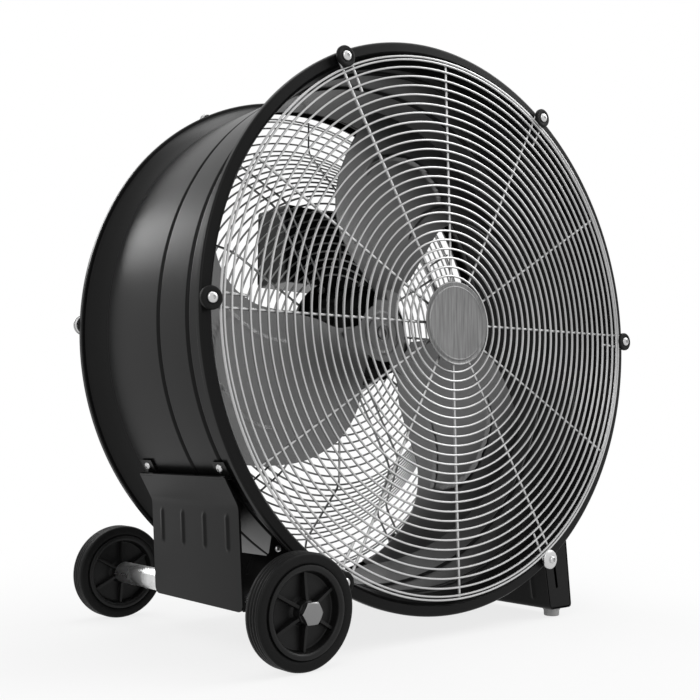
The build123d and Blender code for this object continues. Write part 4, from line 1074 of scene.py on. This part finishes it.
def make_cord_gland():
    """Hexagon nut and a cap that tapers down, turned round the gland's upright bore."""
    low, high = ends("cord_gland")
    place = upright_at((low[0] + high[0]) / 2, (low[1] + high[1]) / 2)
    shape = Shape()
    angle = even_angles(96)
    flat = GLAND_FLAT / np.cos((angle + pi / 6) % (pi / 3) - pi / 6)
    top, nut_low = high[2], high[2] - GLAND_NUT
    rows = [(top, 0), (top, flat), (nut_low + 0.6 * MM, flat), (nut_low, np.minimum(flat, 10.2 * MM))]
    rows += [(nut_low, 0)]
    shape.grid(np.stack([place(h, r, angle) for h, r in rows]), close_columns=True)
    cap = rows_from(nut_low, 0, (0, 4), (0, 8.8), (-2, 9), (-6, 8.6))
    cap += rows_from(low[2], 0, (2.5, 7.4), (0.6, 6.6), (0, 5.6), (0, 4))
    shape.turn(cap, 64, place)
    dress(shape, "turned_cord_gland", "cord_gland", smooth=30)


make_blades()
make_clips()
make_motor()
make_wheel("front", "front_wheel")
make_wheel("rear", "rear_wheel")
make_hex_head("axle_bolt_head", "axle_bolt", -1)
make_hex_head("axle_nut_body", "axle_nut", 1)
make_wheel_bracket()
make_foot_pads()
make_foot_bracket()
make_fixing_screws()
make_control_box()
make_cord_gland()
make_drum_skin()
make_front_wires()
make_rear_wires()
make_badge()


# ---- room, light and camera ----
FLOOR_HALF = 9
CAMERA_PLACE = (-0.8494, -1.0441, 0.2284)
CAMERA_TURN = radians(-39.8)
CAMERA_TILT = radians(6.3)
CAMERA_LENS = 50.98
CAMERA_SHIFT = (-0.032, -0.0233)
LAMP_AIM = (0, 0, 0.374)
# each row: name, place, size and power
LAMPS = (
    ("rear_softbox", (-0.4, 2.85, 1.6), (1.7, 0.6), 19),
    ("left_softbox", (-2.4, -1.6, 1.9), (1.2, 1.8), 16),
    ("front_softbox", (2.3, -1.0, 2.4), (2.0, 1.6), 45),
    ("top_softbox", (0.2, 0.2, 2.8), (2.0, 2.0), 25),
)


def add_object(name, data):
    thing = bpy.data.objects.new(name, data)
    bpy.context.scene.collection.objects.link(thing)
    return thing


def combined(nodes, links, operation, first, second):
    both = nodes.new("ShaderNodeMath")
    both.operation = operation
    links.new(first, both.inputs[0])
    links.new(second, both.inputs[1])
    return both.outputs["Value"]


def seen_rays(nodes, links):
    """1 for the rays that show the background: seen by the camera, or through gloss or glass."""
    rays = nodes.new("ShaderNodeLightPath")
    total = rays.outputs["Is Camera Ray"]
    for kind in ("Is Glossy Ray", "Is Transmission Ray"):
        total = combined(nodes, links, "MAXIMUM", total, rays.outputs[kind])
    return total


def mix_shaders(nodes, links, share, first, second):
    mix = nodes.new("ShaderNodeMixShader")
    links.new(share, mix.inputs["Fac"])
    links.new(first, mix.inputs[1])
    links.new(second, mix.inputs[2])
    return mix.outputs["Shader"]


def make_floor():
    """Pale floor with soft shadows, which turns whiter away from the fan."""
    corners = [(-x * FLOOR_HALF, -y * FLOOR_HALF, 0) for x, y in QUARTERS]
    mesh = bpy.data.meshes.new("floor")
    mesh.from_pydata(corners, [], [range(4)])
    floor = add_object("floor", mesh)
    material = bpy.data.materials.new("pale_floor")
    nodes, links = nodes_of(material)
    shader = nodes["Principled BSDF"]
    set_inputs(shader, {"Base Color": (0.9, 0.9, 0.9, 1), "Roughness": 0.9, "Specular IOR Level": 0.0})
    white = nodes.new("ShaderNodeEmission")
    away = nodes.new("ShaderNodeVectorMath")
    away.operation = "LENGTH"
    links.new(nodes.new("ShaderNodeTexCoord").outputs["Object"], away.inputs[0])
    fade = span(nodes, links, away.outputs["Value"], 0.8, 1.0, 0.35, 1.1, "SMOOTHSTEP")
    share = combined(nodes, links, "MULTIPLY", seen_rays(nodes, links), fade)
    mixed = mix_shaders(nodes, links, share, shader.outputs["BSDF"], white.outputs["Emission"])
    links.new(mixed, nodes["Material Output"].inputs["Surface"])
    mesh.materials.append(material)


def area_light(name, place, size, power):
    """Softbox that looks at the fan's middle and isn't seen itself."""
    lamp = bpy.data.lights.new(name, "AREA")
    lamp.shape = "RECTANGLE"
    lamp.size, lamp.size_y = size
    lamp.energy = power
    thing = add_object(name, lamp)
    thing.location = place
    thing.rotation_euler = (Vector(LAMP_AIM) - Vector(place)).to_track_quat("-Z", "Y").to_euler()
    thing.visible_camera = False


def make_world():
    """White where it is seen, and a weaker white as ambient light."""
    world = bpy.data.worlds.new("studio")
    bpy.context.scene.world = world
    nodes, links = nodes_of(world)
    seen = set_inputs(nodes.new("ShaderNodeBackground"), {"Color": (1, 1, 1, 1)}).outputs["Background"]
    ambient = set_inputs(nodes["Background"], {"Color": (1, 1, 1, 1), "Strength": 0.4}).outputs["Background"]
    mixed = mix_shaders(nodes, links, seen_rays(nodes, links), ambient, seen)
    links.new(mixed, nodes["World Output"].inputs["Surface"])


def make_camera():
    """Pinhole camera fitted to the fan's rims, clips and wheels."""
    camera = add_object("camera", bpy.data.cameras.new("camera"))
    camera.location = CAMERA_PLACE
    camera.rotation_euler = (pi / 2 + CAMERA_TILT, 0, CAMERA_TURN)
    camera.data.lens = CAMERA_LENS
    camera.data.sensor_width = 36
    camera.data.shift_x, camera.data.shift_y = CAMERA_SHIFT
    bpy.context.scene.camera = camera


make_floor()
make_world()
for lamp in LAMPS:
    area_light(*lamp)
make_camera()
bpy.context.scene.view_settings.view_transform = "Standard"
